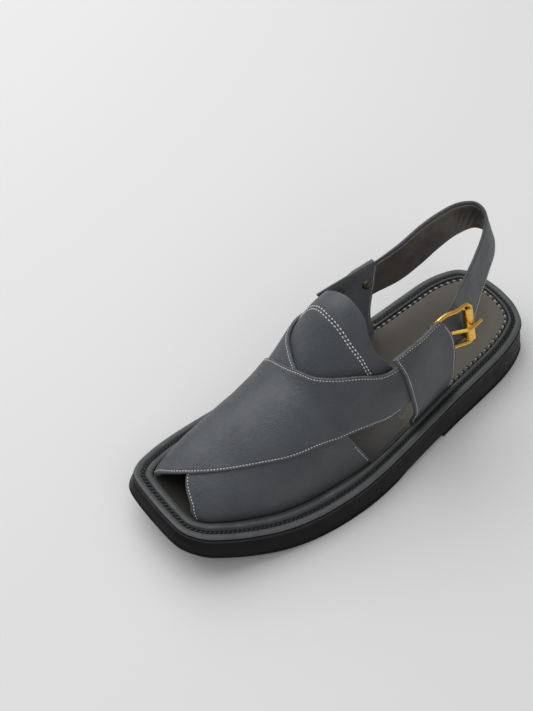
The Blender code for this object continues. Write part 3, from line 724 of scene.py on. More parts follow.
def edge_profile(distance):
    """The share of a leather's thickness that is left at a distance from its edge."""
    share = np.clip(distance / EDGE_ROUND, 0.0, 1.0)
    return 0.25 + 0.75 * np.sqrt(1 - (1 - share) ** 2)


def stitch_dip(distance):
    """How far a row of stitches pulls the leather in, at a distance from the leather's edge."""
    return sizes().stitch_dip * np.exp(-((distance - sizes().stitch_inset) / SEAM_WIDTH) ** 2)


class Panel:
    """A leather panel between a front and a rear edge, from its foot (0) to its end (1)."""

    def __init__(self, edges, inner, thickness, top_edge=False):
        self.edges = edges
        self.inner = inner
        self.thickness = thickness
        self.top_edge = top_edge

    def place(self, share, across):
        row = blend(self.edges, share)
        return (row[..., 1] + (row[..., 3] - row[..., 1]) * across,
                row[..., 2] + (row[..., 4] - row[..., 2]) * across)

    def end_speed(self):
        """Metres of leather for each unit of share, at the top edge."""
        low = last_point(*self.place(np.array(0.97), np.array(0.5)))
        high = last_point(*self.place(np.array(1.0), np.array(0.5)))
        return np.linalg.norm(high - low) / 0.03

    def grids(self, rows, middle):
        shares = np.linspace(0.0, 1.0, rows)
        if self.top_edge:
            near = 1 - np.array(EDGE_STEPS)[::-1] / self.end_speed()
            shares = np.concatenate((np.linspace(0.0, near[0], rows)[:-1], near))
        front, rear = (edge_speed(self.edges, shares, at_rear) for at_rear in (False, True))
        across = across_shares(front, rear, middle)
        share = np.broadcast_to(shares[:, None], across.shape)
        along, around = self.place(share, across)
        distance = np.minimum(across * front[:, None], (1 - across) * rear[:, None])
        if self.top_edge:
            distance = np.minimum(distance, (1 - share) * self.end_speed())
        rise = self.inner(share, along, around)
        full = self.thickness(share, along, around)
        skin = rise + full * edge_profile(distance) - stitch_dip(distance) + crease(along, around)
        wear_and_shade = np.exp(-(distance / RUB_WIDTH) ** 2)
        return over_last(along, around, rise), over_last(along, around, skin), wear_and_shade

    def make(self, name, rows, middle, materials):
        inner, outer, wear_and_shade = self.grids(rows, middle)
        return wall(name, inner, outer, materials, wear_and_shade)

    def line(self, share, across):
        """Points on the panel's skin and the directions square to it."""
        along, around = self.place(share, across)
        rise = self.inner(share, along, around) + self.thickness(share, along, around)
        rise = rise - sizes().stitch_dip + crease(along, around)
        return over_last(along, around, rise), facing(along, around)

    def edge_row(self, at_rear, inset, start=0.0, end=1.0, samples=220):
        """A row of stitches beside the front or the rear edge."""
        share = np.linspace(start, end, samples)
        speed = edge_speed(self.edges, share, at_rear)
        across = inset / speed
        return self.line(share, 1 - across if at_rear else across)

    def top_row(self, inset, start, end, samples=80):
        """A row of stitches beside the top edge."""
        share = np.full(samples, 1 - inset / self.end_speed())
        return self.line(share, np.linspace(start, end, samples))


# Soft creases in the leather: place, direction of the fold from lengthwise, length, width and depth
CREASES = (
    # along, round, turn in degrees, length, width, depth
    (0.445, 0.10, 62, 0.020, 0.0016, -0.00022),
    (0.300, -0.30, 75, 0.034, 0.0040, -0.00030),
    (0.335, 0.25, 80, 0.030, 0.0045, -0.00030),
    (0.120, -0.10, 85, 0.026, 0.0040, 0.00025),
    (0.640, 0.70, 20, 0.022, 0.0030, -0.00030),
)


def crease(along, around):
    """Rise of the leather from its creases."""
    total = np.zeros(np.broadcast(along, around).shape)
    for place, side, turn, length, width, depth in CREASES:
        lengthwise = (along - place) * SOLE_LENGTH
        crosswise = (around - side) * BALL_WIDTH * 0.75
        angle = math.radians(turn)
        down = lengthwise * math.cos(angle) + crosswise * math.sin(angle)
        aside = crosswise * math.cos(angle) - lengthwise * math.sin(angle)
        total = total + depth * np.exp(-(aside / width) ** 2 - (down / length) ** 2)
    return total


def top_inner(share, *_):
    return (BAND + BAND_GAP) * ramp(share, 0.0, LIFT_SHARE)


def top_thickness(share, *_):
    return TOP_BAND - (BAND + BAND_GAP - TOP_BAND_LIFT) * ramp(share, 0.0, LIFT_SHARE)


def lateral_lift(share, along, around):
    """The outer quarter's inner face: clear of the top band's end, lower behind it and at its foot."""
    foot = TOP_BAND - QUARTER
    over = BAND_END_TOP + (QUARTER_REST - BAND_END_TOP) * ramp(along, *REST_ALONG)
    return foot + (over - foot) * ramp(1 - around, *LATERAL_FOOT)


def medial_lift(share, along, around):
    """The inner quarter's inner face: clear of the under band's end, lower at its foot."""
    foot = TOP_BAND - QUARTER_MEDIAL
    lift = foot + (BAND_END_UNDER - foot) * ramp(1 + around, *MEDIAL_FOOT)
    return lift + POCKET_ROLL * (QUARTER_MEDIAL - POCKET_EDGE) * medial_crest(around)


def medial_full(along, around):
    """The inner quarter's thickness below its crest: it grows to two layers round the strap's end."""
    grow = ramp(along, POCKET_START - POCKET_LEAD, POCKET_START) * ramp(1 + around, *POCKET_FOOT)
    return QUARTER_MEDIAL + (POCKET - QUARTER_MEDIAL) * grow


def medial_crest(around):
    """0 on the inner quarter, rising to 1 at its top edge, where it is thin and rolls outwards."""
    return ramp(around - STRAP_TOP_MEDIAL, *POCKET_TOP)


def medial_thickness(share, along, around):
    """The inner quarter's thickness: two layers round the strap's end, thin at its rolled top edge."""
    full = medial_full(along, around)
    return full + (POCKET_EDGE - full) * medial_crest(around)


def even(amount):
    return lambda share, *_: np.full(np.shape(share), amount)


TOP = Panel(TOP_BAND_EDGES, top_inner, top_thickness)
UNDER = Panel(UNDER_BAND_EDGES, even(0.0), even(BAND))
LATERAL = Panel(QUARTER_LATERAL_EDGES, lateral_lift, even(QUARTER), top_edge=True)
MEDIAL = Panel(QUARTER_MEDIAL_EDGES, medial_lift, medial_thickness, top_edge=True)


# Materials


def math_node(nodes, links, operation, *values):
    node = nodes.new("ShaderNodeMath")
    node.operation = operation
    for socket, value in zip(node.inputs, values):
        if isinstance(value, (int, float)):
            socket.default_value = value
        else:
            links.new(value, socket)
    return node.outputs[0]


def noise_node(nodes, links, coordinates, scale, detail=4.0, roughness=0.6):
    node = nodes.new("ShaderNodeTexNoise")
    links.new(coordinates, node.inputs["Vector"])
    if isinstance(scale, (int, float)):
        node.inputs["Scale"].default_value = scale
    else:
        links.new(scale, node.inputs["Scale"])
    node.inputs["Detail"].default_value = detail
    node.inputs["Roughness"].default_value = roughness
    return node.outputs[0]


# The mix node repeats the names of its sockets for each kind of data, so the ones for colours go by number
MIX_SHARE, MIX_FIRST, MIX_SECOND, MIX_RESULT = 0, 6, 7, 2


def mixed(nodes, links, share, first, second):
    node = nodes.new("ShaderNodeMix")
    node.data_type = "RGBA"
    links.new(share, node.inputs[MIX_SHARE])
    links.new(first, node.inputs[MIX_FIRST])
    links.new(second, node.inputs[MIX_SECOND])
    return node.outputs[MIX_RESULT]


def stretched(nodes, links, value, low, high):
    """The value with low made 0 and high made 1."""
    node = nodes.new("ShaderNodeMapRange")
    node.inputs["From Min"].default_value = low
    node.inputs["From Max"].default_value = high
    links.new(value, node.inputs["Value"])
    return node.outputs[0]


def leather_look():
    """The node group of all leathers: clouds of a second colour, rubbed edges, painted shade where the wear
    value passes 1, pores and gloss.
    """
    found = bpy.data.node_groups.get("Leather look")
    if found:
        return found
    tree = bpy.data.node_groups.new("Leather look", "ShaderNodeTree")
    for name, kind, default in (
            ("Colour", "NodeSocketColor", (0.1, 0.1, 0.1, 1.0)),
            ("Clouds", "NodeSocketColor", (0.05, 0.05, 0.05, 1.0)),
            ("Rub and shade", "NodeSocketColor", (0.2, 0.2, 0.2, 1.0)),
            ("Wear and shade", "NodeSocketFloat", 0.0),
            ("Cloud scale", "NodeSocketFloat", 35.0),
            ("Grain scale", "NodeSocketFloat", 1300.0),
            ("Roughness", "NodeSocketFloat", 0.5)):
        socket = tree.interface.new_socket(name, in_out="INPUT", socket_type=kind)
        socket.default_value = default
    for name, kind in (("Colour", "NodeSocketColor"), ("Roughness", "NodeSocketFloat"),
                       ("Height", "NodeSocketFloat")):
        tree.interface.new_socket(name, in_out="OUTPUT", socket_type=kind)
    nodes, links = tree.nodes, tree.links
    given = nodes.new("NodeGroupInput").outputs
    result = nodes.new("NodeGroupOutput").inputs
    place = nodes.new("ShaderNodeTexCoord").outputs["Object"]
    clouds = stretched(nodes, links, noise_node(nodes, links, place, given["Cloud scale"]), 0.35, 0.68)
    colour = mixed(nodes, links, clouds, given["Colour"], given["Clouds"])
    patches = stretched(nodes, links, noise_node(nodes, links, place, 420.0, 3.0), 0.30, 0.62)
    in_patches = math_node(nodes, links, "MULTIPLY", given["Wear and shade"], patches)
    # Painted shade: past 1 the whole surface takes the rubbed colour, which on the insole is a dark shade
    # colour
    over_one = math_node(nodes, links, "SUBTRACT", given["Wear and shade"], 1.0)
    painted_shade_share = math_node(nodes, links, "MAXIMUM", over_one, 0.0)
    rubbed = math_node(nodes, links, "ADD", in_patches, painted_shade_share)
    links.new(mixed(nodes, links, rubbed, colour, given["Rub and shade"]), result["Colour"])
    pores = nodes.new("ShaderNodeTexVoronoi")
    links.new(place, pores.inputs["Vector"])
    links.new(given["Grain scale"], pores.inputs["Scale"])
    fine_scale = math_node(nodes, links, "MULTIPLY", given["Grain scale"], 1.8)
    fine = noise_node(nodes, links, place, fine_scale, 3.0)
    pebble = math_node(nodes, links, "MULTIPLY", pores.outputs["Distance"], 0.6)
    wave = math_node(nodes, links, "MULTIPLY", noise_node(nodes, links, place, 180.0, 3.0), 1.6)
    height = math_node(nodes, links, "ADD", math_node(nodes, links, "ADD", pebble, fine), wave)
    links.new(height, result["Height"])
    gloss = math_node(nodes, links, "MULTIPLY", math_node(nodes, links, "SUBTRACT", clouds, 0.5), 0.12)
    sheen = math_node(nodes, links, "ADD", given["Roughness"], gloss)
    grit = math_node(nodes, links, "MULTIPLY", math_node(nodes, links, "SUBTRACT", fine, 0.5), 0.15)
    links.new(math_node(nodes, links, "ADD", sheen, grit), result["Roughness"])
    return tree


def plain_surface(name, colour, roughness, metallic=0.0):
    material = bpy.data.materials.new(name)
    material.use_nodes = True
    shader = material.node_tree.nodes["Principled BSDF"]
    shader.inputs["Base Color"].default_value = (*colour, 1.0)
    shader.inputs["Roughness"].default_value = roughness
    shader.inputs["Metallic"].default_value = metallic
    material.diffuse_color = (*colour, 1.0)
    return material, shader


def leather(name, colour, clouds, rubbed, roughness, bump_depth, cloud_scale=35.0, specular=0.5):
    """A leather's material, made once; its rubbed colour is also the painted shade colour where the
    attribute passes 1.
    """
    found = bpy.data.materials.get(name)
    if found:
        return found
    material, shader = plain_surface(name, colour, roughness)
    shader.inputs["Specular IOR Level"].default_value = specular
    nodes, links = material.node_tree.nodes, material.node_tree.links
    look = nodes.new("ShaderNodeGroup")
    look.node_tree = leather_look()
    look.inputs["Colour"].default_value = (*colour, 1.0)
    look.inputs["Clouds"].default_value = (*clouds, 1.0)
    look.inputs["Rub and shade"].default_value = (*rubbed, 1.0)
    look.inputs["Cloud scale"].default_value = cloud_scale
    look.inputs["Grain scale"].default_value = sizes().grain_scale
    look.inputs["Roughness"].default_value = roughness
    # This attribute holds the rubbed edges and, on the insole, the painted shade
    wear_and_shade = nodes.new("ShaderNodeAttribute")
    wear_and_shade.attribute_name = "wear_and_shade"
    links.new(wear_and_shade.outputs["Fac"], look.inputs["Wear and shade"])
    links.new(look.outputs["Colour"], shader.inputs["Base Color"])
    links.new(look.outputs["Roughness"], shader.inputs["Roughness"])
    bump = nodes.new("ShaderNodeBump")
    bump.inputs["Strength"].default_value = 0.5
    bump.inputs["Distance"].default_value = bump_depth
    links.new(look.outputs["Height"], bump.inputs["Height"])
    links.new(bump.outputs["Normal"], shader.inputs["Normal"])
    return material


def shade(colour, share):
    return tuple(channel * share for channel in colour)


def upper_leather():
    return leather("upper_leather", colours().leather, colours().leather_shade, colours().leather_worn,
                   0.50, 0.00052)


# Painted light: a lighter copy of the upper leather for the inner quarter's inside, standing in for the
# light that falls on it
def lit_inner_leather():
    return leather("lit_inner_leather", shade(colours().leather, 2.2), shade(colours().leather, 1.8),
                   colours().leather_worn, 0.50, 0.00020)


def edge_paint():
    return leather("edge_paint", shade(colours().leather, 0.8), shade(colours().leather, 0.5),
                   colours().leather_worn, 0.60, 0.00010, 200.0)


def lining_leather():
    return leather("lining_leather", colours().lining, shade(colours().lining, 0.6), colours().lining,
                   0.55, 0.00012, 60.0)


def band_lining():
    return leather("band_lining", shade(colours().leather, 0.45), shade(colours().leather, 0.30),
                   colours().leather, 0.60, 0.00012, 60.0)


def lining_edge():
    return leather("lining_edge", (0.26, 0.24, 0.215), (0.20, 0.18, 0.16), (0.2, 0.2, 0.2), 0.6, 0.0001)


def welt_leather():
    return leather("welt_finish", colours().welt, shade(colours().welt, 0.72), colours().leather_worn,
                   0.50, 0.00014, 70.0)


def footbed_leather():
    # Its rubbed colour is a dark painted shade, laid on the forefoot of the insole
    return leather("footbed_finish", colours().footbed, shade(colours().footbed, 0.86),
                   shade(colours().footbed, 0.22), 0.46, 0.00007, 22.0)


def rubber(name="rubber_finish", share=1.0, roughness=0.48):
    return leather(name, shade(colours().rubber, share), shade(colours().rubber, share * 0.8),
                   colours().rubber, roughness, 0.00006, 90.0, 0.16)


def thread(name, colour, roughness=0.75):
    found = bpy.data.materials.get(name)
    if found:
        return found
    material, shader = plain_surface(name, colour, roughness)
    nodes, links = material.node_tree.nodes, material.node_tree.links
    place = nodes.new("ShaderNodeTexCoord").outputs["Object"]
    tint = stretched(nodes, links, noise_node(nodes, links, place, 260.0, 2.0), 0.30, 0.70)
    first, second = nodes.new("ShaderNodeRGB"), nodes.new("ShaderNodeRGB")
    first.outputs[0].default_value = (*shade(colour, 0.72), 1.0)
    second.outputs[0].default_value = (*shade(colour, 1.15), 1.0)
    links.new(mixed(nodes, links, tint, first.outputs[0], second.outputs[0]), shader.inputs["Base Color"])
    bump = nodes.new("ShaderNodeBump")
    bump.inputs["Distance"].default_value = 0.0001
    links.new(noise_node(nodes, links, place, 3000.0, 2.0), bump.inputs["Height"])
    links.new(bump.outputs["Normal"], shader.inputs["Normal"])
    return material


def brass(name, colour, roughness):
    found = bpy.data.materials.get(name)
    if found:
        return found
    material, shader = plain_surface(name, colour, roughness, 1.0)
    nodes, links = material.node_tree.nodes, material.node_tree.links
    place = nodes.new("ShaderNodeTexCoord").outputs["Object"]
    smear = stretched(nodes, links, noise_node(nodes, links, place, 500.0, 3.0), 0.2, 0.8)
    spread = math_node(nodes, links, "MULTIPLY", smear, 0.16)
    links.new(math_node(nodes, links, "ADD", spread, roughness - 0.06), shader.inputs["Roughness"])
    return material


def gold_brass():
    return brass("gold_brass", colours().brass, 0.24)


def grey_thread():
    return thread("grey_thread", (0.42, 0.42, 0.38))


def black_cord():
    return thread("black_cord", colours().braid, 0.5)


# Rows of stitches


def stitch_rows_tree():
    """Geometry nodes that lay one rounded stitch at each step along a line."""
    found = bpy.data.node_groups.get("Stitch rows")
    if found:
        return found
    tree = bpy.data.node_groups.new("Stitch rows", "GeometryNodeTree")
    tree.interface.new_socket("Geometry", in_out="INPUT", socket_type="NodeSocketGeometry")
    for name, default in (("Pitch", 0.0026), ("Length", 0.0019), ("Width", 0.0009), ("Height", 0.0006),
                          ("Tilt", 0.0), ("Twist", 0.0)):
        socket = tree.interface.new_socket(name, in_out="INPUT", socket_type="NodeSocketFloat")
        socket.default_value = default
    tree.interface.new_socket("Material", in_out="INPUT", socket_type="NodeSocketMaterial")
    tree.interface.new_socket("Geometry", in_out="OUTPUT", socket_type="NodeSocketGeometry")
    nodes, links = tree.nodes, tree.links
    given = nodes.new("NodeGroupInput").outputs
    line = nodes.new("GeometryNodeMeshToCurve")
    links.new(given["Geometry"], line.inputs["Mesh"])
    steps = nodes.new("GeometryNodeResampleCurve")
    steps.mode = "LENGTH"
    links.new(line.outputs["Curve"], steps.inputs["Curve"])
    links.new(given["Pitch"], steps.inputs["Length"])
    ball = nodes.new("GeometryNodeMeshUVSphere")
    ball.inputs["Segments"].default_value = 10
    ball.inputs["Rings"].default_value = 6
    ball.inputs["Radius"].default_value = 0.5
    heading = nodes.new("FunctionNodeAlignRotationToVector")
    heading.axis = "X"
    links.new(nodes.new("GeometryNodeInputTangent").outputs[0], heading.inputs["Vector"])
    upright = nodes.new("FunctionNodeAlignRotationToVector")
    upright.axis = "Z"
    upright.pivot_axis = "X"
    normal = nodes.new("GeometryNodeInputNamedAttribute")
    normal.data_type = "FLOAT_VECTOR"
    normal.inputs["Name"].default_value = "facing"
    links.new(normal.outputs["Attribute"], upright.inputs["Vector"])
    links.new(heading.outputs["Rotation"], upright.inputs["Rotation"])
    size = nodes.new("ShaderNodeCombineXYZ")
    for axis, name in zip("XYZ", ("Length", "Width", "Height")):
        links.new(given[name], size.inputs[axis])
    lay = nodes.new("GeometryNodeInstanceOnPoints")
    links.new(steps.outputs["Curve"], lay.inputs["Points"])
    links.new(ball.outputs["Mesh"], lay.inputs["Instance"])
    links.new(upright.outputs["Rotation"], lay.inputs["Rotation"])
    links.new(size.outputs[0], lay.inputs["Scale"])
    turn = nodes.new("GeometryNodeRotateInstances")
    angles = nodes.new("ShaderNodeCombineXYZ")
    links.new(given["Tilt"], angles.inputs["Z"])
    links.new(given["Twist"], angles.inputs["Y"])
    links.new(lay.outputs["Instances"], turn.inputs["Instances"])
    links.new(angles.outputs[0], turn.inputs["Rotation"])
    whole = nodes.new("GeometryNodeRealizeInstances")
    links.new(turn.outputs["Instances"], whole.inputs["Geometry"])
    finish = nodes.new("GeometryNodeSetMaterial")
    links.new(whole.outputs["Geometry"], finish.inputs["Geometry"])
    links.new(given["Material"], finish.inputs["Material"])
    links.new(finish.outputs["Geometry"], nodes.new("NodeGroupOutput").inputs[0])
    return tree


def stitch_rows(name, rows, material, pitch, length, width, height, tilt=0.0, twist=0.0, slot=None):
    """A piece of stitches along rows; a row is its points, their facings and whether it is closed."""
    points, directions, edges = [], [], []
    for line, normals, closed in rows:
        start = len(points)
        points += [tuple(p) for p in line]
        directions += [tuple(n) for n in normals]
        edges += [(start + k, start + k + 1) for k in range(len(line) - 1)]
        if closed:
            edges.append((start + len(line) - 1, start))
    mesh = bpy.data.meshes.new(name + "_rows")
    mesh.from_pydata(points, edges, [])
    attribute = mesh.attributes.new("facing", "FLOAT_VECTOR", "POINT")
    attribute.data.foreach_set("vector", np.array(directions, np.float32).ravel())
    guide = bpy.data.objects.new(name + "_rows", mesh)
    bpy.context.scene.collection.objects.link(guide)
    tree = stitch_rows_tree()
    change = guide.modifiers.new("stitches", "NODES")
    change.node_group = tree
    values = {"Pitch": pitch, "Length": length, "Width": width, "Height": height, "Tilt": tilt,
              "Twist": twist, "Material": material}
    for item in tree.interface.items_tree:
        if item.in_out == "INPUT" and item.name in values:
            change[item.identifier] = values[item.name]
    result = evaluated_mesh(guide, name)
    if len(result.polygons) == 0:
        raise RuntimeError(f"{name} has no stitches")
    result.shade_smooth()
    thing = bpy.data.objects.new(name, result)
    bpy.context.scene.collection.objects.link(thing)
    settle(thing, slot)
    return thing


def white_rows(name, rows, scale=1.0, bold=1.0):
    s = sizes()
    return stitch_rows(name, [(points, normals, False) for points, normals in rows],
                       thread("pale_thread", colours().thread), s.stitch_pitch * scale,
                       s.stitch_length * scale, s.stitch_width * bold, s.stitch_width * 0.8 * bold)


# Operators


def make_outsole():
    """The rubber unit: a flared side wall with a rib at its foot and a bead under the lip."""
    rib = FOOT_RIB
    profile = (
        (-SIDE_FLARE + 0.0006, ground),
        (-SIDE_FLARE + 0.0001, lambda y: ground(y) + 0.0003),
        (-SIDE_FLARE, lambda y: ground(y) + rib * 0.5),
        (-SIDE_FLARE + 0.0001, lambda y: ground(y) + rib * 0.85),
        (-SIDE_FLARE + 0.0004, lambda y: ground(y) + rib),
        (-SIDE_FLARE + BEAD_DEPTH, lambda y: ground(y) + rib + 0.0003),
        (-SIDE_FLARE + BEAD_DEPTH, lambda y: ground(y) + rib + BEAD_DEPTH),
        (-SIDE_FLARE * 0.6, lambda y: ground(y) * 0.65 + lip(y) * 0.35),
        (-SIDE_FLARE * 0.25, lambda y: ground(y) * 0.3 + lip(y) * 0.7),
        (0.0, lambda y: lip(y) - BEAD_HEIGHT - BEAD_DEPTH * 0.6),
        (0.0, lambda y: lip(y) - BEAD_HEIGHT - 0.0001),
        (-BEAD_DEPTH * 0.6, lambda y: lip(y) - BEAD_HEIGHT + 0.0001),
        (-BEAD_DEPTH, lambda y: lip(y) - BEAD_HEIGHT * 0.75),
        (-BEAD_DEPTH, lambda y: lip(y) - BEAD_HEIGHT * 0.35),
        (-BEAD_DEPTH * 0.6, lambda y: lip(y) - 0.0002),
        (0.0, lip),
    )
    bead_start = 10
    rings = [loop_at(inset, height) for inset, height in profile]
    floor_rings = [loop_at(inset, ground) for inset in (0.004, 0.001, -0.0025)]
    rings = floor_rings + rings
    count = LOOP_POINTS
    faces = ring_faces(len(rings), count, False)[:-2]
    slots = [1 if len(floor_rings) + bead_start <= k // count else 0 for k in range(len(faces))]
    for start, turn in ((0, 1), ((len(rings) - 1) * count, -1)):
        for k in range(count // 2 - 1):
            face = (start + k + 1, start + k, start + (count - k) % count, start + count - 1 - k)
            faces.append(face[::turn])
            slots.append(2 if turn > 0 else 0)
    # Painted highlight: the bead under the lip is a lighter rubber, standing in for the light along its
    # rounded edge
    thing = piece_from("outsole_rubber", np.concatenate(rings), faces,
                       [rubber(), rubber("lip_bead_highlight", 8.0, 0.5), tread_rubber()], slots, sharp=60)
    start, end = y_of(ARCH_START), y_of(HEEL_BREAST)
    steps = 24
    outline = [(start - ARCH_RISE, -ARCH_RISE)]
    for k in range(steps + 1):
        share = k / steps
        outline.append((start + (end - start) * share, float(ARCH_RISE * ramp(share, -0.2, 0.8))))
    outline.append((end, -ARCH_RISE))
    corners = [(side * BALL_WIDTH, y, z) for side in (-1, 1) for y, z in outline]
    many = len(outline)
    cutter = piece_from("arch_space", corners, ring_faces(2, many, False), [tread_rubber()])
    change = thing.modifiers.new("arch", "BOOLEAN")
    change.operation = "DIFFERENCE"
    change.solver = "EXACT"
    change.object = cutter
    mesh = evaluated_mesh(thing, "outsole_rubber")
    bpy.data.objects.remove(cutter)
    settle(from_mesh("outsole_rubber", mesh, None, 60), "black_rubber", "outsole")


def tread_rubber():
    """The underside's rubber, with fine ribs across it."""
    found = bpy.data.materials.get("tread_rubber")
    if found:
        return found
    material, shader = plain_surface("tread_rubber", shade(colours().rubber, 1.2), 0.7)
    nodes, links = material.node_tree.nodes, material.node_tree.links
    place = nodes.new("ShaderNodeTexCoord").outputs["Object"]
    ribs = nodes.new("ShaderNodeTexWave")
    ribs.bands_direction = "Y"
    ribs.wave_profile = "TRI"
    ribs.inputs["Scale"].default_value = 60.0
    ribs.inputs["Distortion"].default_value = 0.0
    links.new(place, ribs.inputs["Vector"])
    bump = nodes.new("ShaderNodeBump")
    bump.inputs["Distance"].default_value = 0.0010
    links.new(ribs.outputs["Fac"], bump.inputs["Height"])
    links.new(bump.outputs["Normal"], shader.inputs["Normal"])
    return material


# The welt's section: inset from the lip, share of the inner roll's width and rise over the lip
WELT_PROFILE = (
    (0.0004, 0.0, CLEARANCE),
    (0.0000, 0.0, OUTER_ROLL_RISE * 0.45),
    (OUTER_ROLL * 0.10, 0.0, OUTER_ROLL_RISE * 0.80),
    (OUTER_ROLL * 0.30, 0.0, OUTER_ROLL_RISE * 0.98),
    (OUTER_ROLL * 0.55, 0.0, OUTER_ROLL_RISE * 1.00),
    (OUTER_ROLL * 0.85, 0.0, OUTER_ROLL_RISE * 0.88),
    (OUTER_ROLL, 0.0, OUTER_ROLL_RISE * 0.66),
    (OUTER_ROLL + GROOVE * 0.20, 0.0, GROOVE_RISE * 0.9),
    (OUTER_ROLL + GROOVE * 0.50, 0.0, GROOVE_RISE * 0.8),
    (OUTER_ROLL + GROOVE * 0.80, 0.0, GROOVE_RISE * 0.9),
    (OUTER_ROLL + GROOVE, 0.00, INNER_ROLL_RISE * 0.62),
    (OUTER_ROLL + GROOVE, 0.12, INNER_ROLL_RISE * 0.88),
    (OUTER_ROLL + GROOVE, 0.40, INNER_ROLL_RISE * 1.00),
    (OUTER_ROLL + GROOVE, 0.70, INNER_ROLL_RISE * 0.98),
    (OUTER_ROLL + GROOVE, 0.92, INNER_ROLL_RISE * 0.80),
    (OUTER_ROLL + GROOVE, 1.00, INNER_ROLL_RISE * 0.50),
    (OUTER_ROLL + GROOVE, 1.00, CLEARANCE),
)


def welt_line(fixed, share, rise):
    def inset(y):
        return fixed + (welt_width(y) - OUTER_ROLL - GROOVE) * share
    return loop_at(inset, lambda y: lip(y) + rise)


def make_welt():
    """The leather ring: an outer roll, the groove that holds the braid and an inner roll."""
    section = smooth_through(WELT_PROFILE, 3)
    rings = [welt_line(*row) for row in section]
    faces = ring_faces(len(rings), LOOP_POINTS, True)
    thing = piece_from("welt_leather", np.concatenate(rings), faces, [welt_leather()], sharp=70)
    settle(thing, "welt_leather", "welt")


def upward(count):
    return np.tile((0.0, 0.0, 1.0), (count, 1))


def make_braid():
    """The black cord that is laid over and over in the welt's groove."""
    centre = OUTER_ROLL + GROOVE / 2
    line = loop_at(centre, lambda y: lip(y) + GROOVE_RISE + 0.0004)
    s = sizes()
    stitch_rows("welt_braid", [(line, upward(len(line)), True)], black_cord(),
                s.braid_pitch, s.braid_pitch * 1.55, 0.0017, 0.0016, tilt=math.radians(30),
                twist=math.radians(8))


def make_footbed_stitches():
    """Pale and black stitches round the insole's edge, behind the quarters."""
    pitch = sizes().footbed_pitch
    line = loop_at(lambda y: welt_width(y) + 0.0016, lambda y: insole_top(y) + 0.00005)
    behind_quarters = QUARTER_MEDIAL_EDGES[0][3] + 0.012
    back = np.where(along_of(line[:, 1]) > behind_quarters)[0]
    run = line[back[0]:back[-1] + 1]
    direction = unit(run[1] - run[0])
    shifted = np.vstack((run[:1] + direction * pitch / 2, run[2:]))
    stitch_rows("footbed_stitches", [(run, upward(len(run)), False)], grey_thread(), pitch,
                pitch * 0.62, 0.0018, 0.0011, tilt=math.radians(-12))
    stitch_rows("footbed_cord", [(shifted, upward(len(shifted)), False)], black_cord(), pitch,
                pitch * 0.66, 0.0022, 0.0012, tilt=math.radians(25))


def make_insole():
    """The footbed inside the welt."""
    edge = inset_line(lambda y: welt_width(y) + CLEARANCE)
    half = LOOP_POINTS // 2
    medial = edge[1:half]
    lateral = edge[half + 1:][::-1]
    gap = np.linalg.norm(lateral - medial, axis=1)
    near = np.minimum(np.array(EDGE_STEPS)[None] * 1.2, gap[:, None] * 0.4 * np.array(EDGE_STEPS)[None]
                      / EDGE_STEPS[-1])
    middle = np.linspace(0.0, 1.0, 34)[None, 1:-1]
    inside = near[:, -1:] + (gap[:, None] - 2 * near[:, -1:]) * middle
    distance = np.concatenate((near, inside, gap[:, None] - near[:, ::-1]), axis=1)
    share = distance / gap[:, None]
    flat = medial[:, None] + (lateral - medial)[:, None] * share[..., None]
    from_edge = np.minimum(distance, gap[:, None] - distance)
    bevel = INSOLE * 0.35 * (1 - np.clip(from_edge / 0.0009, 0, 1)) ** 2
    groove = 0.0003 * np.exp(-((from_edge - 0.0013) / 0.0008) ** 2)
    y = flat[..., 1]
    top = np.concatenate((flat, (insole_top(y) - bevel - groove)[..., None]), axis=-1)
    low = np.concatenate((flat, (lip(y) + CLEARANCE)[..., None]), axis=-1)
    materials = [footbed_leather(), footbed_leather(), edge_paint()]
    # Painted shade: the footbed darkens towards the toe, standing in for the shadow under the bands
    painted_shade = 2.0 * ramp(along_of(y), *PAINTED_SHADE_ALONG)
    settle(wall("insole_leather", low, top, materials, painted_shade), "footbed_leather", "insole")


def make_bands():
    """The two crossed bands of the upper."""
    materials = [upper_leather(), band_lining(), edge_paint()]
    for name, panel in (("upper_top_band", TOP), ("upper_under_band", UNDER)):
        settle(panel.make(name, 120, 64, materials), "grey_leather", "upper")
    inset = sizes().stitch_inset
    rows = [
        TOP.edge_row(False, inset, 0.02, 0.96),
        TOP.edge_row(True, inset, 0.02, 0.985),
        UNDER.edge_row(False, inset, 0.02, 0.30),
        UNDER.edge_row(True, inset, 0.02, 0.12),
        UNDER.edge_row(True, inset, 0.60, 0.92),
    ]
    white_rows("band_stitches", rows)


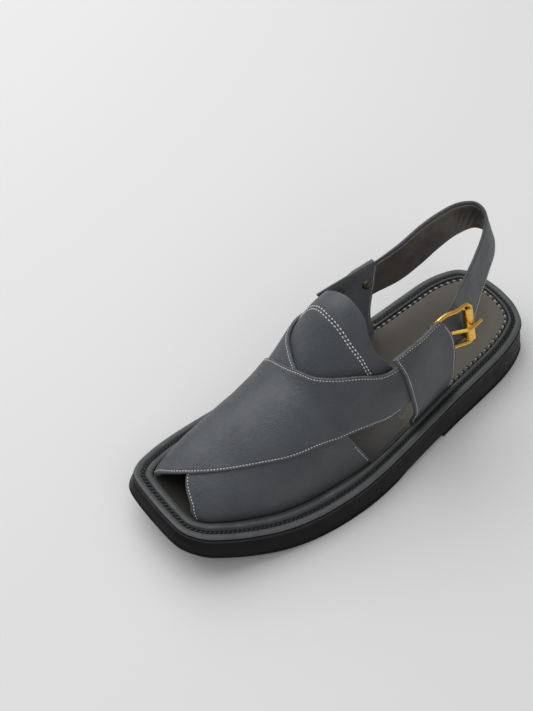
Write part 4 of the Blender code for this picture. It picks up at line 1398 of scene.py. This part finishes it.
def make_tongue():
    """The domed piece under the bands, with its double seam."""
    columns = 90
    around = np.linspace(TONGUE_EDGES[0][0], TONGUE_EDGES[-1][0], columns)
    row = blend(TONGUE_EDGES, around)
    scale = SOLE_LENGTH * TONGUE_STRETCH
    length = (row[:, 2] - row[:, 1]) * scale
    near = 1 - np.array(EDGE_STEPS)[None, ::-1] / length[:, None]
    steps = np.linspace(0.0, 1.0, 60)[None, :-1]
    share = np.concatenate((near[:, :1] * steps, near), axis=1)
    along = row[:, 1:2] + (row[:, 2:3] - row[:, 1:2]) * share
    round_ = np.broadcast_to(around[:, None], along.shape)
    distance = (1 - share) * length[:, None]
    past_seam = (along - row[:, 3:4]) * scale
    dips = sizes().stitch_dip * sum(np.exp(-((past_seam - side * TONGUE_SEAM_GAP) / SEAM_WIDTH) ** 2)
                                    for side in (-1, 1))
    step = 0.0003 * ramp(past_seam, -0.0005, 0.0005)
    skin = -CLEARANCE - TONGUE * (1 - edge_profile(distance)) - dips + step - 0.0003 + crease(along, round_)
    inner = over_last(along, round_, -CLEARANCE - TONGUE)
    outer = over_last(along, round_, skin)
    wear_and_shade = np.exp(-(distance / RUB_WIDTH) ** 2)
    materials = [upper_leather(), lining_leather(), edge_paint()]
    settle(wall("tongue_leather", inner, outer, materials, wear_and_shade), "grey_leather", "tongue")
    rows = []
    fine = np.linspace(-0.62, 0.58, 260)
    seam = blend(TONGUE_EDGES, fine)[:, 3]
    for side in (-1, 1):
        place = seam + side * TONGUE_SEAM_GAP / scale
        rows.append((over_last(place, fine, -CLEARANCE - 0.0002 + 0.0002 * side), facing(place, fine)))
    white_rows("tongue_stitches", rows, 1.35, 1.35)


def make_quarters():
    """The two side panels with their stitched edges."""
    inset = sizes().stitch_inset
    rows = []
    # The inner quarter's inside gets a lighter copy of the upper leather, painted light
    for name, panel, lining in (("quarter_lateral", LATERAL, upper_leather),
                                ("quarter_medial", MEDIAL, lit_inner_leather)):
        materials = [upper_leather(), lining(), edge_paint()]
        settle(panel.make(name + "_leather", 60, 30, materials), "grey_leather", name)
        rows.append(panel.edge_row(False, inset, 0.0, 0.95))
        rows.append(panel.edge_row(True, inset, 0.0, 0.93))
        rows.append(panel.top_row(inset, 0.06, 0.94))
    white_rows("quarter_stitches", rows)
    share = np.linspace(0.10, 0.93, 120)
    across = 1 - inset / edge_speed(QUARTER_MEDIAL_EDGES, share, True)
    along, around = MEDIAL.place(share, across)
    row = over_last(along, around, medial_lift(share, along, around) - 0.0002)
    white_rows("quarter_inner_stitches", [(row, -facing(along, around))])


def strap_point(across, along, up):
    return np.array((across * BALL_WIDTH, y_of(along), up * INSTEP_HEIGHT))


def strap_sections():
    """The strap's middle surface: top point, low point and thickness from the pocket to the tail."""
    in_pocket = BAND_END_UNDER + POCKET_LAYER + CLEARANCE + SKIVED_STRAP / 2
    sections = []
    for share in (0.0, 0.5, 1.0):
        along = POCKET_START + (POCKET_MOUTH - POCKET_START) * share
        sections.append((over_last(along, STRAP_TOP_MEDIAL, in_pocket),
                         over_last(along, STRAP_LOW_MEDIAL, in_pocket), SKIVED_STRAP))
    for row in STRAP_EDGES:
        sections.append((strap_point(*row[:3]), strap_point(*row[3:]), STRAP))
    inside = QUARTER_REST - 2 * CLEARANCE - 2 * BUCKLE_WIRE - STRAP / 2
    for along in TAIL_ALONG:
        sections.append((over_last(along, STRAP_TOP_LATERAL, inside),
                         over_last(along, STRAP_LOW_LATERAL, inside), STRAP))
    return sections


# The strap's section, round from its top edge over the outer face, the lower edge and the lining:
# distance from the nearer edge, share of the half thickness, and the finish up to the next point
OUTSIDE, LINING, SEAM, LINING_EDGE = 0, 1, 2, 3
STRAP_OUTER = ((0.0, 0.0), (0.0002, -0.6), (0.0006, -0.92), (0.0012, -1.0))
STRAP_INNER_TOP = (
    (0.0002, 0.6, OUTSIDE), (0.0006, 0.92, OUTSIDE), (0.0016, 1.0, OUTSIDE), (0.0021, 0.92, SEAM),
    (0.0024, 0.10, SEAM), (0.0034, 0.10, SEAM), (0.0037, 0.95, LINING_EDGE), (0.0043, 1.10, LINING_EDGE),
    (0.0050, 0.92, LINING),
)


def strap_path():
    """The strap's sections at close steps: top point, low point and thickness."""
    sections = [np.concatenate((top, low, (thickness,))) for top, low, thickness in strap_sections()]
    return smooth_through(sections, STRAP_STEPS)


def strap_frames(path):
    """Along the strap: top, rise to the top, inward direction, width and half thickness."""
    before = np.vstack((path[:1], path[:-1]))
    after = np.vstack((path[1:], path[-1:]))
    lengthwise = (after[:, :3] + after[:, 3:6]) - (before[:, :3] + before[:, 3:6])
    rise = path[:, :3] - path[:, 3:6]
    width = np.linalg.norm(rise, axis=1)
    rise = unit(rise)
    return path[:, :3], rise, unit(np.cross(lengthwise, rise)), width, path[:, 6] / 2


def make_heel_strap():
    """The strap from the inner quarter's pocket round the heel to the buckle."""
    path = strap_path()
    top, rise, inward, width, half = strap_frames(path)
    travelled = np.concatenate(((0.0,), np.cumsum(np.linalg.norm(np.diff(path[:, :3], axis=0), axis=1))))
    across = 16
    section = []
    for distance, depth in STRAP_OUTER:
        section.append((distance, 0.0, depth, OUTSIDE))
    for k in range(1, across):
        section.append((0.0, k / across, -1.0, OUTSIDE))
    for distance, depth in STRAP_OUTER[::-1]:
        section.append((-distance, 1.0, depth, OUTSIDE))
    for distance, depth in STRAP_OUTER[1:]:
        section.append((-distance, 1.0, -depth, LINING))
    for k in range(across - 1, 3, -1):
        section.append((0.0, k / across, 1.0, LINING))
    for distance, depth, finish in STRAP_INNER_TOP[::-1]:
        section.append((distance, 0.0, depth, finish))
    heel = np.argmax(path[:, 4])
    points = []
    for i in range(len(path)):
        near_heel = math.exp(-((travelled[i] - travelled[heel]) / 0.016) ** 2)
        far_folds = math.exp(-((travelled[i] - travelled[heel] + 0.045) / 0.020) ** 2)
        for distance, share, depth, finish in section:
            down = distance + share * width[i]
            amount = depth * half[i]
            if depth > 0 and finish == LINING and 0.0 < share < 1.0:
                lean = (travelled[i] + down * 0.25) / 0.0044 * math.tau / 2
                slow = math.sin((travelled[i] - down * 0.8) / 0.011 * math.tau)
                folds = near_heel * (abs(math.sin(lean)) - 1.0) + 0.22 * far_folds * (slow - 1.0)
                amount += sizes().wrinkle_depth * folds * math.sin(math.pi * share)
            points.append(top[i] - rise[i] * down + inward[i] * amount)
    count = len(section)
    faces = ring_faces(len(path), count, False)
    slots = [section[k % count][3] for k in range(len(faces) - 2)] + [LINING, LINING]
    materials = [upper_leather(), lining_leather(), black_cord(), lining_edge()]
    settle(piece_from("heel_strap_leather", points, faces, materials, slots, sharp=55),
           "grey_leather", "heel_strap")
    inset = sizes().stitch_inset
    shown = slice(heel // 2, len(path) - len(TAIL_ALONG) * STRAP_STEPS)
    line = (path[:, 3:6] + rise * inset - inward * half[:, None])[shown]
    white_rows("strap_stitches", [(line, -inward[shown])])


def behind_quarter(along, around):
    """A point of the buckle's front bar or legs, against the outer quarter's inner face."""
    return over_last(along, around, QUARTER_REST - CLEARANCE - BUCKLE_WIRE)


def make_buckle():
    """The wire frame, the roller on its rear bar and the prong."""
    gold = gold_brass()
    top, low = strap_point(*ROLLER_TOP), strap_point(*ROLLER_LOW)
    bar = low - top
    front_top, front_low = behind_quarter(*FRONT_BAR_TOP), behind_quarter(*FRONT_BAR_LOW)
    leg_top, leg_low = behind_quarter(*LEG_TOP), behind_quarter(*LEG_LOW)
    arch = np.array((LEG_ARCH, 0.0, LEG_ARCH))
    corners = [
        front_top + (front_low - front_top) * 0.12,
        front_top + (leg_top - front_top) * 0.08,
        leg_top,
        (leg_top + top) / 2 + arch,
        top - bar * 0.03 + (leg_top - top) * 0.12,
        top,
        low,
        low + bar * 0.03 + (leg_low - low) * 0.12,
        leg_low,
        front_low + (leg_low - front_low) * 0.08,
        front_low + (front_top - front_low) * 0.12,
    ]
    settle(tube("buckle_frame_brass", smooth_through(corners, 6, closed=True), BUCKLE_WIRE, True, gold),
           "brass", "buckle_frame")
    length = np.linalg.norm(bar) * ROLLER_SHARE
    bore = BUCKLE_WIRE + CLEARANCE
    lip_round = 0.0003
    profile = (
        (0.0, bore), (0.0, ROLLER_RADIUS - lip_round), (lip_round, ROLLER_RADIUS),
        (length - lip_round, ROLLER_RADIUS), (length, ROLLER_RADIUS - lip_round), (length, bore),
    )
    start = (top + low) / 2 - unit(bar) * length / 2
    settle(turned("buckle_roller_brass", profile, start, bar, gold, bored=True), "brass", "buckle_roller")
    middle = (top + low) / 2
    along, around = (np.array(FRONT_BAR_TOP) + FRONT_BAR_LOW) / 2
    start = behind_quarter(along, around)
    forward = unit(middle - start)
    outward = unit(np.cross(low - top, forward))
    over = middle + outward * (ROLLER_RADIUS + CLEARANCE + PRONG_RADIUS)
    points = smooth_through([
        start + forward * (BUCKLE_WIRE + CLEARANCE + PRONG_RADIUS),
        start + forward * PRONG_SHANK - outward * PRONG_DIP,
        over - forward * PRONG_BEND,
        over,
        over + forward * PRONG_TIP - outward * PRONG_RADIUS,
    ], 8)
    settle(tube("buckle_prong_brass", points, PRONG_RADIUS, False, gold), "brass", "buckle_prong")


def make_rivet():
    """The domed cap on the inner face of the inner quarter, and the nail at its foot."""
    dark = brass("aged_brass", (0.17, 0.14, 0.105), 0.34)
    seat = over_last(RIVET_ALONG, RIVET_ROUND, BAND_END_UNDER - CLEARANCE)
    inward = unit(seat - over_last(RIVET_ALONG, RIVET_ROUND, BAND_END_UNDER)) + RIVET_TILT
    steps = 8
    profile = [(0.0, RIVET_RADIUS), (RIVET_RISE * 0.25, RIVET_RADIUS)]
    for k in range(steps + 1):
        angle = k / steps * math.pi / 2
        profile.append((RIVET_RISE * (0.25 + 0.75 * math.sin(angle)),
                        max(RIVET_RADIUS * 0.97 * math.cos(angle), 0.0002)))
    settle(turned("rivet_cap", profile, seat, inward, dark), "brass", "rivet")
    point = over_last(NAIL_ALONG, NAIL_ROUND, TOP_BAND)
    out = facing(np.array(NAIL_ALONG), np.array(NAIL_ROUND))
    profile = [(0.0, NAIL_HEAD)]
    for k in range(1, 6):
        angle = k / 5 * math.pi / 2
        profile.append((NAIL_HEAD * 0.7 * math.sin(angle), max(NAIL_HEAD * math.cos(angle), 0.0001)))
    settle(turned("quarter_nail", profile, point, -out, gold_brass(), 20), "brass")


def area_light(name, place, size, power):
    light = bpy.data.lights.new(name, "AREA")
    light.shape = "SQUARE"
    light.size = size
    light.energy = power
    lamp = bpy.data.objects.new(name, light)
    bpy.context.scene.collection.objects.link(lamp)
    lamp.location = place
    lamp.rotation_euler = (Vector(LIGHT_AIM) - Vector(place)).to_track_quat("-Z", "Y").to_euler()


def make_stage():
    """Floor, soft light and the camera at the photograph's place."""
    scene = bpy.context.scene
    scene.view_settings.view_transform = "Standard"
    material, shader = plain_surface("studio_floor", colours().floor, 0.9)
    shader.inputs["Specular IOR Level"].default_value = 0.1
    mesh = bpy.data.meshes.new("studio_floor")
    corners = [(x * FLOOR_HALF, y * FLOOR_HALF, 0) for x, y in ((-1, -1), (1, -1), (1, 1), (-1, 1))]
    mesh.from_pydata(corners, [], [(0, 1, 2, 3)])
    mesh.materials.append(material)
    floor = bpy.data.objects.new("studio_floor", mesh)
    scene.collection.objects.link(floor)
    world = bpy.data.worlds.new("studio")
    world.use_nodes = True
    background = world.node_tree.nodes["Background"]
    background.inputs["Color"].default_value = (1.0, 1.0, 1.0, 1.0)
    background.inputs["Strength"].default_value = SKY_STRENGTH
    scene.world = world
    for light in LIGHTS:
        area_light(*light)
    camera = bpy.data.cameras.new("camera")
    camera.lens = CAMERA_LENS
    camera.sensor_width = CAMERA_SENSOR
    camera.clip_start = 0.05
    camera.clip_end = 20.0
    lens = bpy.data.objects.new("camera", camera)
    scene.collection.objects.link(lens)
    right, up = Vector(CAMERA_RIGHT).normalized(), Vector(CAMERA_UP).normalized()
    turn = Matrix((right, up, right.cross(up))).transposed()
    lens.matrix_world = Matrix.Translation(CAMERA_PLACE) @ turn.to_4x4()
    scene.camera = lens


class CHAPPAL_OT_outsole(bpy.types.Operator):
    """Builds the rubber outsole"""
    bl_idname = "chappal.outsole"
    bl_label = "Outsole"

    def execute(self, context):
        make_outsole()
        return {"FINISHED"}


class CHAPPAL_OT_welt(bpy.types.Operator):
    """Builds the welt and its braid"""
    bl_idname = "chappal.welt"
    bl_label = "Welt and braid"

    def execute(self, context):
        make_welt()
        make_braid()
        return {"FINISHED"}


class CHAPPAL_OT_insole(bpy.types.Operator):
    """Builds the insole and its edge stitches"""
    bl_idname = "chappal.insole"
    bl_label = "Insole"

    def execute(self, context):
        make_insole()
        make_footbed_stitches()
        return {"FINISHED"}


class CHAPPAL_OT_bands(bpy.types.Operator):
    """Builds the two crossed bands of the upper"""
    bl_idname = "chappal.bands"
    bl_label = "Crossed bands"

    def execute(self, context):
        make_bands()
        return {"FINISHED"}


class CHAPPAL_OT_tongue(bpy.types.Operator):
    """Builds the tongue with its double seam"""
    bl_idname = "chappal.tongue"
    bl_label = "Tongue"

    def execute(self, context):
        make_tongue()
        return {"FINISHED"}


class CHAPPAL_OT_quarters(bpy.types.Operator):
    """Builds the two quarters"""
    bl_idname = "chappal.quarters"
    bl_label = "Quarters"

    def execute(self, context):
        make_quarters()
        return {"FINISHED"}


class CHAPPAL_OT_heel_strap(bpy.types.Operator):
    """Builds the heel strap with its lining"""
    bl_idname = "chappal.heel_strap"
    bl_label = "Heel strap"

    def execute(self, context):
        make_heel_strap()
        return {"FINISHED"}


class CHAPPAL_OT_buckle(bpy.types.Operator):
    """Builds the buckle, its roller and its prong"""
    bl_idname = "chappal.buckle"
    bl_label = "Buckle"

    def execute(self, context):
        make_buckle()
        return {"FINISHED"}


class CHAPPAL_OT_rivet(bpy.types.Operator):
    """Builds the rivet and the nail"""
    bl_idname = "chappal.rivet"
    bl_label = "Rivet and nail"

    def execute(self, context):
        make_rivet()
        return {"FINISHED"}


class CHAPPAL_OT_stage(bpy.types.Operator):
    """Builds the studio: floor, light and camera"""
    bl_idname = "chappal.stage"
    bl_label = "Studio"

    def execute(self, context):
        make_stage()
        return {"FINISHED"}


OPERATORS = (
    CHAPPAL_OT_outsole, CHAPPAL_OT_welt, CHAPPAL_OT_insole, CHAPPAL_OT_bands, CHAPPAL_OT_tongue,
    CHAPPAL_OT_quarters, CHAPPAL_OT_heel_strap, CHAPPAL_OT_buckle, CHAPPAL_OT_rivet, CHAPPAL_OT_stage,
)


class CHAPPAL_PT_panel(bpy.types.Panel):
    """Lists the pieces of the chappal and their sizes"""
    bl_idname = "CHAPPAL_PT_panel"
    bl_label = "Peshawari chappal"
    bl_space_type = "VIEW_3D"
    bl_region_type = "UI"
    bl_category = "Chappal"

    def draw(self, context):
        for operator in OPERATORS:
            self.layout.operator(operator.bl_idname)
        for group in (context.scene.chappal_sizes, context.scene.chappal_colours):
            box = self.layout.box()
            for name in group.__annotations__:
                box.prop(group, name)


CLASSES = (ChappalSizes, ChappalColours, *OPERATORS, CHAPPAL_PT_panel)


def register():
    for kind in CLASSES:
        bpy.utils.register_class(kind)
    bpy.types.Scene.chappal_sizes = PointerProperty(type=ChappalSizes)
    bpy.types.Scene.chappal_colours = PointerProperty(type=ChappalColours)


def unregister():
    del bpy.types.Scene.chappal_colours
    del bpy.types.Scene.chappal_sizes
    for kind in reversed(CLASSES):
        bpy.utils.unregister_class(kind)


def main():
    register()
    bpy.ops.chappal.outsole()
    bpy.ops.chappal.welt()
    bpy.ops.chappal.insole()
    bpy.ops.chappal.bands()
    bpy.ops.chappal.tongue()
    bpy.ops.chappal.quarters()
    bpy.ops.chappal.heel_strap()
    bpy.ops.chappal.buckle()
    bpy.ops.chappal.rivet()
    bpy.ops.chappal.stage()


if __name__ == "__main__":
    main()
